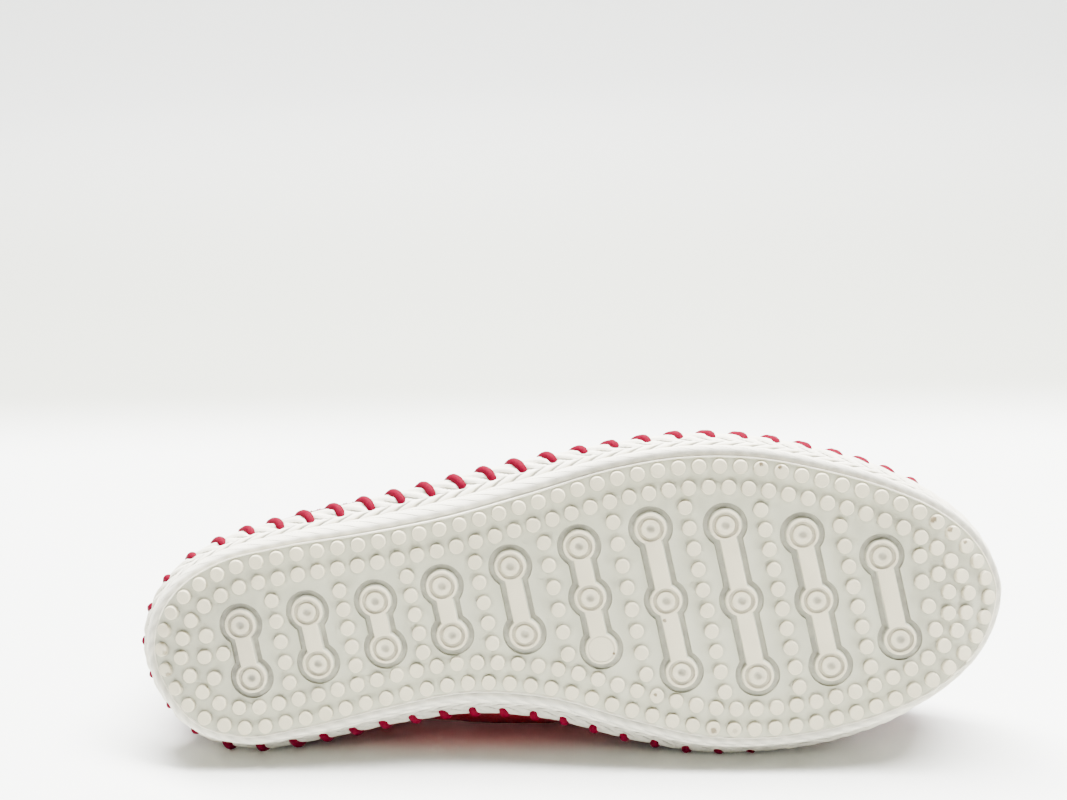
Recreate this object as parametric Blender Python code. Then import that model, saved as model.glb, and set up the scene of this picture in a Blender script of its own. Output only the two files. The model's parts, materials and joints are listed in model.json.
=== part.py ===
"""Right-foot leather slip-on with a moulded rubber cup sole, lying on its inner side.

The shoe is worked out in its own frame, in millimetres: x runs from the back of the heel rim to the toe,
y points to the inner side of the foot and z points up from the ground. One empty then lays it on its side.
"""

import math

import bmesh
import bpy
import numpy as np
from mathutils import Matrix, Vector
from mathutils.geometry import delaunay_2d_cdt

MM = 0.001
GAP = 0.35  # clearance between pieces that touch

# Sections of the shoe, from the back of the heel to the toe. The first and the last row are the two tips.
# station        place along the tread
# outer, inner   half widths of the tread, to the outer and to the inner side
# outer_flare, inner_flare   how far the rim stands out past the tread
# outer_belly, inner_belly   how far the upper swells out past the tread, above the rim
# rim, floor     heights of the rim's top and of the cup's floor
SECTION_COLUMNS = (
    "station", "outer", "inner", "outer_flare", "inner_flare", "outer_belly", "inner_belly", "rim", "floor",
)
SECTIONS = (
    (6.0, -8.1, 8.1, 6.8, 6.8, 3.8, 3.8, 18.5, 10.8),
    (10.0, 5.2, 19.6, 5.9, 8.0, 3.2, 3.8, 18.5, 10.8),
    (17.0, 12.9, 28.3, 5.2, 8.4, 2.4, 4.0, 18.4, 10.8),
    (29.0, 19.0, 33.0, 4.8, 8.2, 2.0, 4.2, 18.2, 10.8),
    (48.0, 22.2, 31.9, 5.7, 8.3, 2.6, 5.6, 17.8, 10.7),
    (73.0, 24.0, 27.8, 7.6, 9.1, 4.2, 12.4, 17.3, 10.4),
    (97.0, 26.6, 25.2, 8.8, 10.3, 5.2, 18.0, 16.8, 10.0),
    (121.0, 31.3, 28.5, 8.2, 10.5, 4.6, 16.6, 16.3, 9.4),
    (146.0, 36.6, 37.5, 5.6, 9.9, 2.2, 9.0, 15.8, 8.7),
    (165.0, 38.1, 43.5, 5.0, 8.7, 1.6, 5.2, 15.6, 8.0),
    (185.0, 36.3, 45.2, 4.4, 7.9, 1.2, 4.0, 15.6, 7.7),
    (204.0, 31.1, 43.3, 4.2, 7.6, 1.0, 3.6, 15.8, 7.7),
    (221.0, 24.6, 38.8, 3.7, 6.6, 0.8, 2.8, 16.6, 8.2),
    (234.0, 17.4, 32.7, 2.8, 4.8, 0.4, 1.6, 18.0, 9.8),
    (244.5, 7.3, 24.3, 2.6, 3.8, 0.0, 0.4, 19.8, 11.9),
    (249.0, -0.8, 17.2, 2.6, 3.2, -0.2, 0.0, 20.7, 13.0),
    (251.0, -9.2, 9.2, 2.8, 2.8, -0.2, -0.2, 21.0, 13.4),
)
SPLINE_STEPS = 24  # points between two rows when the outline is traced

# Underside: the lug tops lie on the ground at the heel and the ball.
LUG_HEIGHT = 1.2
TOE_SPRING_START = 226.5
TOE_SPRING_RADIUS = 40.0
HEEL_ROLL_END = 17.0
HEEL_ROLL_RADIUS = 18.0
ARCH_START = 58.0
ARCH_END = 150.0
ARCH_RISE = 0.8

# Round studs: two rows follow the edge, short columns stand between the links, a few fill the toe and heel.
STUD_RADIUS = 2.1
STUD_SIDES = 6
EDGE_ROWS = (  # inset from the tread's edge, number of studs, shift along the row in pitches
    (2.75, 91, 0.235),
    (8.75, 87, 0.78),
)
EDGE_SWAY = 0.48  # pitches by which the rows run ahead at the outer waist and lag at the inner one
EDGE_SWAY_CENTRE = 0.19  # share of the way round where they run ahead most
STUD_COLUMNS = (  # station, first stud, last stud, number
    (44.7, -6.8, 18.0, 5),
    (64.7, -8.1, 14.4, 5),
    (84.6, -10.5, 12.2, 5),
    (104.8, -13.0, 11.2, 5),
    (125.7, -17.0, 16.1, 6),
    (146.7, -21.4, 23.7, 8),
    (168.0, -23.9, 30.7, 10),
    (189.2, -21.4, 30.9, 10),
    (210.3, -14.9, 26.6, 8),
)
FILLER_STUDS = (  # station, offset to the inner side
    (23.0, 2.1), (21.7, 8.3), (27.4, 7.8), (23.8, 14.9),
    (229.0, -4.4), (233.8, 1.4), (236.4, 6.9), (235.9, 13.0), (231.9, 17.3), (229.0, 3.1), (230.4, 10.3),
)

# Links: long lugs of two or three discs joined by a bar, set across the sole at a slant.
LINKS = (  # station, first disc, last disc, number of discs
    (34.2, -0.4, 15.5, 2),
    (54.2, -2.7, 12.8, 2),
    (74.3, -4.2, 9.9, 2),
    (94.0, -6.9, 7.7, 2),
    (114.6, -11.0, 9.1, 2),
    (135.5, -15.3, 15.1, 3),
    (157.0, -18.7, 23.8, 3),
    (178.3, -17.9, 26.5, 3),
    (199.4, -13.4, 25.2, 3),
    (220.2, -5.3, 19.1, 2),
)
HEEL_SLANT = 0.09
TOE_SLANT = 0.137
DISC_RADIUS = 4.5
BAR_WIDTH = 4.8
DISC_STEPS = 12  # sides of a full disc

# Side of the sole: a rope roll, a groove and a braided band that leans out to the rim.
WALL_PROFILE = (  # share of the flare, share of the height from tread to rim
    (0.20, 0.07),
    (0.37, 0.20),
    (0.43, 0.32),
    (0.39, 0.38),
    (0.56, 0.46),
    (0.70, 0.58),
    (0.92, 0.72),
    (1.00, 0.84),
    (0.80, 1.00),
)
RIM_WIDTH = 3.2
CUP_TOP_REACH = 0.85
CUP_FOOT_REACH = 0.45
SOLE_STEPS = 46  # outline points on each side

# Upper: one leather wall from the cup's floor to the topline, closed over the toes along a ridge.
UPPER_WALL = 1.8
UPPER_STEPS = 31
UPPER_RISE_STEPS = 6
BELLY_RISE = 11.0
TOE_BELLY_RISE = 4.5
TOE_BOX = (185.0, 250.0)  # stations between which the belly drops to the toe
BELLY_LIFT = (0.34, 0.62)  # share of the rise and of the swell where the wall clears the rim
TOP_BACK = 9.5
TOP_FRONT = 227.0
THROAT = 143.0
COLLAR_HALF_WIDTH = 29.5
COLLAR_POWER = 2.5
TOP_LINE = (  # station, offset to the inner side, height: topline to the throat, then the ridge
    (9.5, 8.0, 64.0),
    (30.0, 7.2, 60.5),
    (60.0, 5.2, 54.5),
    (90.0, 3.8, 52.0),
    (117.0, 3.4, 55.5),
    (143.0, 3.8, 63.5),
    (165.0, 4.8, 58.5),
    (190.0, 6.8, 50.5),
    (212.0, 8.6, 44.0),
    (227.0, 9.4, 40.0),
)
THROAT_GATHER = (137.0, 11.0, 3.0)  # place, half width and strength of the closer ribs round the throat
COLLAR_ARCHING = 0.3  # 0 is a straight wall, 1 a quarter ellipse
ARCHING_FROM = 95.0
ARCHING_TO = 150.0

# Insole: a padded board on the cup's floor, inside the upper.
INSOLE_THICKNESS = 3.0
INSOLE_STEPS = 28
INSOLE_INSET = UPPER_WALL + 0.8

COLOURS = {  # red, green, blue, roughness
    "sole": (0.82, 0.82, 0.77, 0.62),
    "upper": (0.55, 0.01, 0.03, 0.42),
    "insole": (0.62, 0.49, 0.35, 0.75),
}


def smooth(low, high, value):
    """0 below low, 1 above high, with an even ease between them."""
    share = min(1.0, max(0.0, (value - low) / (high - low)))
    return share * share * (3 - 2 * share)


def traced(rows, closed, steps=SPLINE_STEPS):
    """A smooth curve through the rows, with steps points in each span."""
    rows = np.array(rows, float)
    if closed:
        rows = np.vstack([rows[-1], rows, rows[:2]])
    else:
        rows = np.vstack([2 * rows[0] - rows[1], rows, 2 * rows[-1] - rows[-2]])
    spans = np.linalg.norm(np.diff(rows[:, :2], axis=0), axis=1)[:, None]
    slopes = np.diff(rows, axis=0) / spans
    tangents = (slopes[:-1] * spans[1:] + slopes[1:] * spans[:-1]) / (spans[1:] + spans[:-1])
    share = np.linspace(0, 1, steps, endpoint=False)[:, None]
    curve = []
    for i in range(1, len(rows) - 2):
        start, end, span = rows[i], rows[i + 1], spans[i]
        curve.append(
            start * (1 + 2 * share) * (1 - share) ** 2
            + end * share**2 * (3 - 2 * share)
            + tangents[i - 1] * span * share * (1 - share) ** 2
            - tangents[i] * span * share**2 * (1 - share)
        )
    if not closed:
        curve.append(rows[-2:-1])
    return np.vstack(curve)


def resampled(points, distances):
    """Rows of points at these distances along them."""
    run = np.concatenate([[0], np.cumsum(np.linalg.norm(np.diff(points[:, :2], axis=0), axis=1))])
    return np.stack([np.interp(distances * run[-1], run, column) for column in points.T], 1)


def section_loop():
    """Rows of x, y, flare, belly, rim and floor: heel tip, outer side, toe tip, inner side."""
    rows = [dict(zip(SECTION_COLUMNS, row)) for row in SECTIONS]
    outer = [
        (r["station"], -r["outer"], r["outer_flare"], r["outer_belly"], r["rim"], r["floor"]) for r in rows
    ]
    inner = [
        (r["station"], r["inner"], r["inner_flare"], r["inner_belly"], r["rim"], r["floor"]) for r in rows
    ]
    return outer + inner[-2:0:-1], len(rows) - 1


def outline(steps):
    """The tread's outline: steps even points from the heel tip along each side, with the outward direction.

    Point i of the outer side faces point -i of the inner side. Returns a dict of arrays.
    """
    loop, spans = section_loop()
    dense = traced(loop, closed=True)
    ring = np.vstack([dense, dense[:1]])
    middle = spans * SPLINE_STEPS
    shares = np.linspace(0, 1, steps + 1)
    outer = resampled(ring[: middle + 1], shares)
    inner = resampled(ring[middle:], shares)
    points = np.vstack([outer[:-1], inner[:-1]])
    along = np.roll(points[:, :2], -1, axis=0) - np.roll(points[:, :2], 1, axis=0)
    along /= np.linalg.norm(along, axis=1)[:, None]
    return {
        "place": points[:, :2],
        "out": np.stack([along[:, 1] * -1, along[:, 0]], 1) * outward_sign(points[:, :2], along),
        "flare": points[:, 2],
        "belly": points[:, 3],
        "rim": points[:, 4],
        "floor": points[:, 5],
    }


def outward_sign(points, along):
    """1 or -1, to turn the left-hand side of the outline's direction outwards."""
    left = np.stack([-along[:, 1], along[:, 0]], 1)
    return 1.0 if ((points - points.mean(0)) * left).sum() > 0 else -1.0


def tread_height(x):
    """Height of the lug tops over the ground at a station."""
    toe = max(0.0, x - TOE_SPRING_START) ** 2 / (2 * TOE_SPRING_RADIUS)
    heel = max(0.0, HEEL_ROLL_END - x) ** 2 / (2 * HEEL_ROLL_RADIUS)
    share = min(1.0, max(0.0, (x - ARCH_START) / (ARCH_END - ARCH_START)))
    return toe + heel + ARCH_RISE * math.sin(math.pi * share) ** 2


def slant(station):
    """How much a link or column leans forward for each millimetre to the inner side."""
    first, last = LINKS[0][0], LINKS[-1][0]
    return HEEL_SLANT + (TOE_SLANT - HEEL_SLANT) * (station - first) / (last - first)


def slanted_row(station, first, last, count):
    """Evenly spaced places across the sole, from the outer to the inner side."""
    middle = (first + last) / 2
    return [(station + slant(station) * (y - middle), y) for y in np.linspace(first, last, count)]


def stud_places():
    """Centres of all the studs."""
    places = list(FILLER_STUDS)
    edge = outline(SOLE_STEPS * 8)
    for inset, count, shift in EDGE_ROWS:
        row = edge["place"] - inset * edge["out"]
        row = np.vstack([row, row[:1]])
        share = (np.arange(count) + shift) / count
        share += EDGE_SWAY / count * np.cos(2 * math.pi * (share - EDGE_SWAY_CENTRE))
        places += [tuple(p) for p in resampled(row, share % 1)]
    for station, first, last, count in STUD_COLUMNS:
        places += slanted_row(station, first, last, count)
    return places


def stud_outline(centre):
    """A stud's outline, with its area equal to the round stud's."""
    turn = 2 * math.pi / STUD_SIDES
    radius = STUD_RADIUS * math.sqrt(turn / math.sin(turn))
    return [
        (centre[0] + radius * math.cos(turn * i), centre[1] + radius * math.sin(turn * i))
        for i in range(STUD_SIDES)
    ]


def link_outline(station, first, last, count):
    """The outline of one link: round the discs down one side of the bar and up the other."""
    discs = [np.array(p) for p in slanted_row(station, first, last, count)]
    along = (discs[-1] - discs[0]) / np.linalg.norm(discs[-1] - discs[0])
    side = np.array([-along[1], along[0]])
    mouth = math.asin(BAR_WIDTH / 2 / DISC_RADIUS)
    end_steps = round(DISC_STEPS * (1 - mouth / math.pi))
    middle_steps = max(2, round(DISC_STEPS * (0.5 - mouth / math.pi)))

    def arc(centre, start, stop, steps):
        angles = np.linspace(start, stop, steps + 1)
        return [centre + DISC_RADIUS * (math.cos(a) * along + math.sin(a) * side) for a in angles]

    points = arc(discs[-1], math.pi + mouth, 3 * math.pi - mouth, end_steps)
    for disc in discs[-2:0:-1]:
        points += arc(disc, mouth, math.pi - mouth, middle_steps)
    points += arc(discs[0], mouth, 2 * math.pi - mouth, end_steps)
    for disc in discs[1:-1]:
        points += arc(disc, math.pi + mouth, 2 * math.pi - mouth, middle_steps)
    return [tuple(p) for p in points]


def new_object(name, points, faces, parent):
    """A named mesh object from points in millimetres, in the shoe's frame."""
    mesh = bpy.data.meshes.new(name)
    mesh.from_pydata([tuple(np.array(p) * MM) for p in points], [], faces)
    piece = bpy.data.objects.new(name, mesh)
    bpy.context.scene.collection.objects.link(piece)
    piece.parent = parent
    work = bmesh.new()
    work.from_mesh(mesh)
    bmesh.ops.remove_doubles(work, verts=work.verts, dist=MM * 1e-3)
    bmesh.ops.recalc_face_normals(work, faces=work.faces)
    work.to_mesh(mesh)
    work.free()
    mesh.shade_smooth()
    mesh.set_sharp_from_angle(angle=math.radians(35))
    mesh.materials.append(new_material(name))
    return piece


def new_material(name):
    """The plain colour and gloss of a piece."""
    red, green, blue, roughness = COLOURS[name]
    material = bpy.data.materials.new(name)
    material.use_nodes = True
    shader = material.node_tree.nodes["Principled BSDF"]
    shader.inputs["Base Color"].default_value = (red, green, blue, 1)
    shader.inputs["Roughness"].default_value = roughness
    shader.inputs["Metallic"].default_value = 0.0
    return material


def bands(rings, count):
    """Quads between successive rings of count points."""
    return [
        (r * count + i, r * count + (i + 1) % count, (r + 1) * count + (i + 1) % count, (r + 1) * count + i)
        for r in range(rings - 1)
        for i in range(count)
    ]


def ladder(start, steps):
    """Faces that close a ring of 2 * steps points, rung by rung from the heel tip to the toe tip."""
    count = 2 * steps
    faces = []
    for i in range(steps):
        rung = (i, i + 1, count - i - 1, (count - i) % count)
        faces.append(tuple(start + k for k in dict.fromkeys(rung)))
    return faces


def sole_underside(edge):
    """Points and faces of the tread: the base between the lugs, the lug tops and their sides."""
    lugs = [stud_outline(p) for p in stud_places()] + [link_outline(*row) for row in LINKS]
    flat = [Vector(p) for p in edge]
    polygons = [list(range(len(flat)))]
    for lug in lugs:
        polygons.append(list(range(len(flat), len(flat) + len(lug))))
        flat += [Vector(p) for p in lug]
    places, _, faces, _, _, owners = delaunay_2d_cdt(flat, [], polygons, 1, 1e-5)
    raised = [any(o > 0 for o in owner) for owner in owners]
    base = [(p.x, p.y, tread_height(p.x) + LUG_HEIGHT) for p in places]
    tops = [(p.x, p.y, tread_height(p.x)) for p in places]
    count = len(places)
    mesh_faces = []
    sides = {}
    for face, is_top in zip(faces, raised):
        mesh_faces.append(tuple(k + count for k in face) if is_top else tuple(face))
        for a, b in zip(face, face[1:] + face[:1]):
            sides.setdefault(frozenset((a, b)), []).append((is_top, a, b))
    for pair in sides.values():
        if len({is_top for is_top, _, _ in pair}) == 2:
            _, a, b = next(side for side in pair if side[0])
            mesh_faces.append((a + count, b + count, b, a))
    return base + tops, mesh_faces


def make_sole(parent):
    """The moulded cup sole: lugged underside, roped and braided wall, rim and cup."""
    edge = outline(SOLE_STEPS)
    place, out, flare = edge["place"], edge["out"], edge["flare"]
    foot = np.array([tread_height(x) + LUG_HEIGHT for x in place[:, 0]])
    rings = [(0 * flare, foot)]
    rings += [(flare * reach, foot + rise * (edge["rim"] - foot)) for reach, rise in WALL_PROFILE]
    rings.append((flare * CUP_TOP_REACH - RIM_WIDTH, edge["rim"]))
    rings.append((flare * CUP_FOOT_REACH - RIM_WIDTH, edge["floor"]))
    count = len(place)
    wall = [np.column_stack([place + out * offset[:, None], height]) for offset, height in rings]
    points = [tuple(p) for p in np.vstack(wall)]
    faces = bands(len(rings), count) + ladder((len(rings) - 1) * count, SOLE_STEPS)
    under_points, under_faces = sole_underside(place)
    faces += [tuple(k + len(points) for k in face) for face in under_faces]
    used = sorted({k for face in faces for k in face})
    renumbered = {old: new for new, old in enumerate(used)}
    points += under_points
    return new_object(
        "sole", [points[k] for k in used], [tuple(renumbered[k] for k in face) for face in faces], parent
    )


def top_points(edge):
    """Where each rib of the upper ends: on the topline, or on the ridge in front of the throat."""
    line = traced(TOP_LINE, closed=False)
    stations = edge["place"][:, 0]
    stations = (stations + np.roll(stations[::-1], 1)) / 2
    share = (stations - stations.min()) / (stations.max() - stations.min())
    grid = np.linspace(TOP_BACK, TOP_FRONT, 400)
    place, half_width, strength = THROAT_GATHER
    density = np.cumsum(1 + strength * np.exp(-(((grid - place) / half_width) ** 2)))
    x = np.interp(share, (density - density[0]) / (density[-1] - density[0]), grid)
    y = np.interp(x, line[:, 0], line[:, 1])
    z = np.interp(x, line[:, 0], line[:, 2])
    across = 2 * (x - TOP_BACK) / (THROAT - TOP_BACK) - 1
    opening = np.clip(1 - np.abs(across) ** COLLAR_POWER, 0, None) ** (1 / COLLAR_POWER)
    side = np.where(np.arange(len(x)) <= len(x) // 2, -1.0, 1.0)
    slope = np.interp(x, line[:-1, 0], np.diff(line[:, 2]) / np.diff(line[:, 0]))
    return np.column_stack([x, y + side * COLLAR_HALF_WIDTH * opening, z]), np.where(x > THROAT, slope, 0)


def upper_rings(edge):
    """Rings of the upper's outer face, from the cup's floor to the topline and ridge."""
    place, out = edge["place"], edge["out"]
    tops, slopes = top_points(edge)
    closing = np.array([smooth(ARCHING_FROM, ARCHING_TO, x) for x in tops[:, 0]])
    arching = COLLAR_ARCHING + (1 - COLLAR_ARCHING) * closing
    in_cup = edge["flare"] * CUP_FOOT_REACH - RIM_WIDTH - GAP
    at_rim = edge["flare"] * CUP_TOP_REACH - RIM_WIDTH - GAP
    lift_rise, lift_swell = BELLY_LIFT
    toe = np.array([smooth(*TOE_BOX, x) for x in place[:, 0]])
    rise = BELLY_RISE + (TOE_BELLY_RISE - BELLY_RISE) * toe
    low = [
        (in_cup, edge["floor"] + GAP),
        (at_rim, edge["rim"]),
        (at_rim + lift_swell * (edge["belly"] - at_rim), edge["rim"] + lift_rise * rise),
        (edge["belly"], edge["rim"] + rise),
    ]
    rings = [np.column_stack([place + out * offset[:, None], height]) for offset, height in low]
    belly = rings[-1]
    for step in range(1, UPPER_RISE_STEPS + 1):
        share = step / UPPER_RISE_STEPS
        inward = (1 - arching) * share + arching * (1 - math.cos(share * math.pi / 2))
        upward = (1 - arching) * share + arching * math.sin(share * math.pi / 2)
        ring = belly + (tops - belly) * np.column_stack([inward, inward, upward])
        ring[:, 2] += slopes * (ring[:, 0] - tops[:, 0]) * share**2
        rings.append(ring)
    return rings


def make_upper(parent):
    """The leather wall, open at the collar and underneath, with its thickness on the inside."""
    edge = outline(UPPER_STEPS)
    rings = upper_rings(edge)
    points = [tuple(p) for p in np.vstack(rings)]
    upper = new_object("upper", points, bands(len(rings), len(edge["place"])), parent)
    wall = upper.modifiers.new("wall", "SOLIDIFY")
    wall.thickness = UPPER_WALL * MM
    wall.offset = -1
    return upper


def make_insole(parent):
    """The padded board that lies on the cup's floor."""
    edge = outline(INSOLE_STEPS)
    inset = edge["flare"] * CUP_FOOT_REACH - RIM_WIDTH - INSOLE_INSET
    place = edge["place"] + edge["out"] * inset[:, None]
    bottom = np.column_stack([place, edge["floor"] + GAP])
    top = bottom + np.array([0, 0, INSOLE_THICKNESS])
    points = [tuple(p) for p in np.vstack([bottom, top])]
    count = len(place)
    faces = bands(2, count) + ladder(0, INSOLE_STEPS) + ladder(count, INSOLE_STEPS)
    return new_object("insole", points, faces, parent)


def balance_point(pieces):
    """The centre of the pieces' volume, in the shoe's frame."""
    depsgraph = bpy.context.evaluated_depsgraph_get()
    moment, volume = np.zeros(3), 0.0
    for piece in pieces:
        mesh = piece.evaluated_get(depsgraph).to_mesh()
        mesh.calc_loop_triangles()
        places = np.array([v.co for v in mesh.vertices]) / MM
        corners = places[[t.vertices for t in mesh.loop_triangles]]
        volumes = np.einsum("ij,ij->i", corners[:, 0], np.cross(corners[:, 1], corners[:, 2])) / 6
        moment += (corners.sum(1) / 4 * volumes[:, None]).sum(0)
        volume += volumes.sum()
    return moment / volume


def resting_side(points, balance):
    """Downward direction in which the shoe lies steady on its inner side: a hull facet under the balance."""
    work = bmesh.new()
    for point in points:
        work.verts.new(point)
    bmesh.ops.convex_hull(work, input=work.verts)
    work.faces.ensure_lookup_table()
    best = None
    for face in work.faces:
        normal = face.normal.copy()
        corners = [v.co for v in face.verts]
        if normal.dot(corners[0] - Vector(balance)) < 0:
            normal.negate()
        foot = Vector(balance) + normal * normal.dot(corners[0] - Vector(balance))
        sides = [(b - a).cross(foot - a).dot(normal) for a, b in zip(corners, corners[1:] + corners[:1])]
        steady = min(sides) >= 0 or max(sides) <= 0
        if steady and (best is None or normal.y > best.y):
            best = normal
    work.free()
    return np.array(best)


def lying_matrix(points, balance):
    """The rigid move that lays the shoe on its inner side, over the origin."""
    up = -resting_side(points, balance)
    forward = np.array([1.0, 0.0, 0.0]) - up * up[0]
    forward /= np.linalg.norm(forward)
    turned = np.stack([forward, np.cross(up, forward), up])
    laid = points @ turned.T
    low, high = laid.min(0), laid.max(0)
    centre = np.array([(low[0] + high[0]) / 2, (low[1] + high[1]) / 2, low[2]])
    return Matrix.Translation(Vector(-centre * MM)) @ Matrix(turned.tolist()).to_4x4()


def main():
    for old in list(bpy.data.objects):
        bpy.data.objects.remove(old)
    shoe = bpy.data.objects.new("shoe", None)
    bpy.context.scene.collection.objects.link(shoe)
    pieces = [make_sole(shoe), make_upper(shoe), make_insole(shoe)]
    outside = np.array([v.co for piece in pieces for v in piece.data.vertices]) / MM
    shoe.matrix_world = lying_matrix(outside, balance_point(pieces))
    bpy.context.view_layer.update()


main()
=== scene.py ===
"""Looks of a right-foot leather slip-on that lies on its inner side, laid out as a Blender add-on.

The shoe is worked out in its own frame, in millimetres: x runs from the back of the heel rim to the toe,
y points to the inner side of the foot and z points up from the ground. laid() carries it to the row frame.
"""

import json
import math

import bmesh
import bpy
import numpy as np
from bpy.props import FloatProperty, FloatVectorProperty, IntProperty, PointerProperty
from mathutils import Matrix, Vector
from mathutils.geometry import delaunay_2d_cdt


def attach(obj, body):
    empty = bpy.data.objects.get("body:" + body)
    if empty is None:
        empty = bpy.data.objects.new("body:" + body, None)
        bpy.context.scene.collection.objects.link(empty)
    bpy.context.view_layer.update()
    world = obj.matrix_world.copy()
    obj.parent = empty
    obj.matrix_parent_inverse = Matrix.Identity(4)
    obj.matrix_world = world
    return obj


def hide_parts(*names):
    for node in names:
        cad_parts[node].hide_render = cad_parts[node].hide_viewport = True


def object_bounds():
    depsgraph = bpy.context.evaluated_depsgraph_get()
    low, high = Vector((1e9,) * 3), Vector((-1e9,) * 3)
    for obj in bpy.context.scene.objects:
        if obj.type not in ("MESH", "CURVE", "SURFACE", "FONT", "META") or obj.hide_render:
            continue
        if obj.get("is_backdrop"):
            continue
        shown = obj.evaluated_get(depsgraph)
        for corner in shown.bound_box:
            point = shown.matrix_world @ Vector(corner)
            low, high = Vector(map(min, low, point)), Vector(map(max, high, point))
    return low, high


bl_info = {
    "name": "Leather slip-on",
    "version": (1, 0, 0),
    "blender": (4, 5, 0),
    "location": "View3D > Sidebar > Slip-on",
    "description": "Builds the looks of a stitched slip-on with a braided cup sole around its packed model",
    "category": "Object",
}

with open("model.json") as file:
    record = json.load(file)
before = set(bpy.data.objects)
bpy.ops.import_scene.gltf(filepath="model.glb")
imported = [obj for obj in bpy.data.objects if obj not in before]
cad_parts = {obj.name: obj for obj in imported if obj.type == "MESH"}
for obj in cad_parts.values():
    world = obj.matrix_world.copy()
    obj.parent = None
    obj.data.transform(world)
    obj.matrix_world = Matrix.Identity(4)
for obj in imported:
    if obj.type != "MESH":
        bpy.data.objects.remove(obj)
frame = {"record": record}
CAD_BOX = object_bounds()
MM = 0.001
BODY = "root"

# Sections of the shoe, from the back of the heel to the toe. The first and the last row are the two tips.
# station        place along the tread
# outer, inner   half widths of the tread, to the outer and to the inner side
# outer_flare, inner_flare   how far the rim stands out past the tread
# outer_belly, inner_belly   how far the upper swells out past the tread, above the rim
# rim, floor     heights of the rim's top and of the cup's floor
SECTION_COLUMNS = (
    "station", "outer", "inner", "outer_flare", "inner_flare", "outer_belly", "inner_belly", "rim", "floor",
)
SECTIONS = (
    (6.0, -8.1, 8.1, 6.8, 6.8, 3.8, 3.8, 18.5, 10.8),
    (10.0, 5.2, 19.6, 5.9, 8.0, 3.2, 3.8, 18.5, 10.8),
    (17.0, 12.9, 28.3, 5.2, 8.4, 2.4, 4.0, 18.4, 10.8),
    (29.0, 19.0, 33.0, 4.8, 8.2, 2.0, 4.2, 18.2, 10.8),
    (48.0, 22.2, 31.9, 5.7, 8.3, 2.6, 5.6, 17.8, 10.7),
    (73.0, 24.0, 27.8, 7.6, 9.1, 4.2, 12.4, 17.3, 10.4),
    (97.0, 26.6, 25.2, 8.8, 10.3, 5.2, 18.0, 16.8, 10.0),
    (121.0, 31.3, 28.5, 8.2, 10.5, 4.6, 16.6, 16.3, 9.4),
    (146.0, 36.6, 37.5, 5.6, 9.9, 2.2, 9.0, 15.8, 8.7),
    (165.0, 38.1, 43.5, 5.0, 8.7, 1.6, 5.2, 15.6, 8.0),
    (185.0, 36.3, 45.2, 4.4, 7.9, 1.2, 4.0, 15.6, 7.7),
    (204.0, 31.1, 43.3, 4.2, 7.6, 1.0, 3.6, 15.8, 7.7),
    (221.0, 24.6, 38.8, 3.7, 6.6, 0.8, 2.8, 16.6, 8.2),
    (234.0, 17.4, 32.7, 2.8, 4.8, 0.4, 1.6, 18.0, 9.8),
    (244.5, 7.3, 24.3, 2.6, 3.8, 0.0, 0.4, 19.8, 11.9),
    (249.0, -0.8, 17.2, 2.6, 3.2, -0.2, 0.0, 20.7, 13.0),
    (251.0, -9.2, 9.2, 2.8, 2.8, -0.2, -0.2, 21.0, 13.4),
)
SPLINE_STEPS = 24  # points between two rows when the outline is traced
GAP = 0.35  # clearance between pieces that touch
FLOOR_GAP = 0.05  # least height of the shoe's points over the floor
WELD_REACH = 0.01  # points of one sheet that lie closer than this are joined

# Underside: the lug tops lie on the ground at the heel and the ball.
TOE_SPRING_START = 226.5
TOE_SPRING_RADIUS = 40.0
HEEL_ROLL_END = 17.0
HEEL_ROLL_RADIUS = 18.0
ARCH_START = 58.0
ARCH_END = 150.0
ARCH_RISE = 0.8

# Round studs: two rows follow the edge, short columns stand between the links, a few fill the toe and heel.
EDGE_ROWS = (  # inset from the tread's edge, number of studs, shift along the row in pitches
    (2.75, 91, 0.235),
    (8.75, 87, 0.78),
)
EDGE_SWAY = 0.48  # pitches by which the rows run ahead at the outer waist and lag at the inner one
EDGE_SWAY_CENTRE = 0.19  # share of the way round where they run ahead most
STUD_COLUMNS = (  # station, first stud, last stud, number
    (44.7, -6.8, 18.0, 5),
    (64.7, -8.1, 14.4, 5),
    (84.6, -10.5, 12.2, 5),
    (104.8, -13.0, 11.2, 5),
    (125.7, -17.0, 16.1, 6),
    (146.7, -21.4, 23.7, 8),
    (168.0, -23.9, 30.7, 10),
    (189.2, -21.4, 30.9, 10),
    (210.3, -14.9, 26.6, 8),
)
FILLER_STUDS = (  # station, offset to the inner side
    (23.0, 2.1), (21.7, 8.3), (27.4, 7.8), (23.8, 14.9),
    (229.0, -4.4), (233.8, 1.4), (236.4, 6.9), (235.9, 13.0), (231.9, 17.3), (229.0, 3.1), (230.4, 10.3),
)
STUD_PROFILE = (  # share of the radius, share of the height, dust and painted shade
    (1.05, -0.4, 0.5),
    (1.0, 0.5, 0.25),
    (0.975, 0.86, 0.05),
    (0.90, 0.985, 0.0),
    (0.82, 1.0, 0.0),
)
STUD_SIDES = 18
STUD_SEED = 4
STUD_SHARP = 50  # degrees from where an edge stays sharp
STUD_FOOT = (0.97, 0.4)  # ring of dust and painted shade at a stud's foot: reach in stud radii, its strength
STUD_HALO = 1.55  # reach of the dust and painted shade round a stud's foot, in stud radii
EDGE_HALO = 1.27  # the same in the row next to the edge
HALO_ROOM = 0.97  # share of the room up to the nearest moat that this dust and painted shade may take
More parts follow.
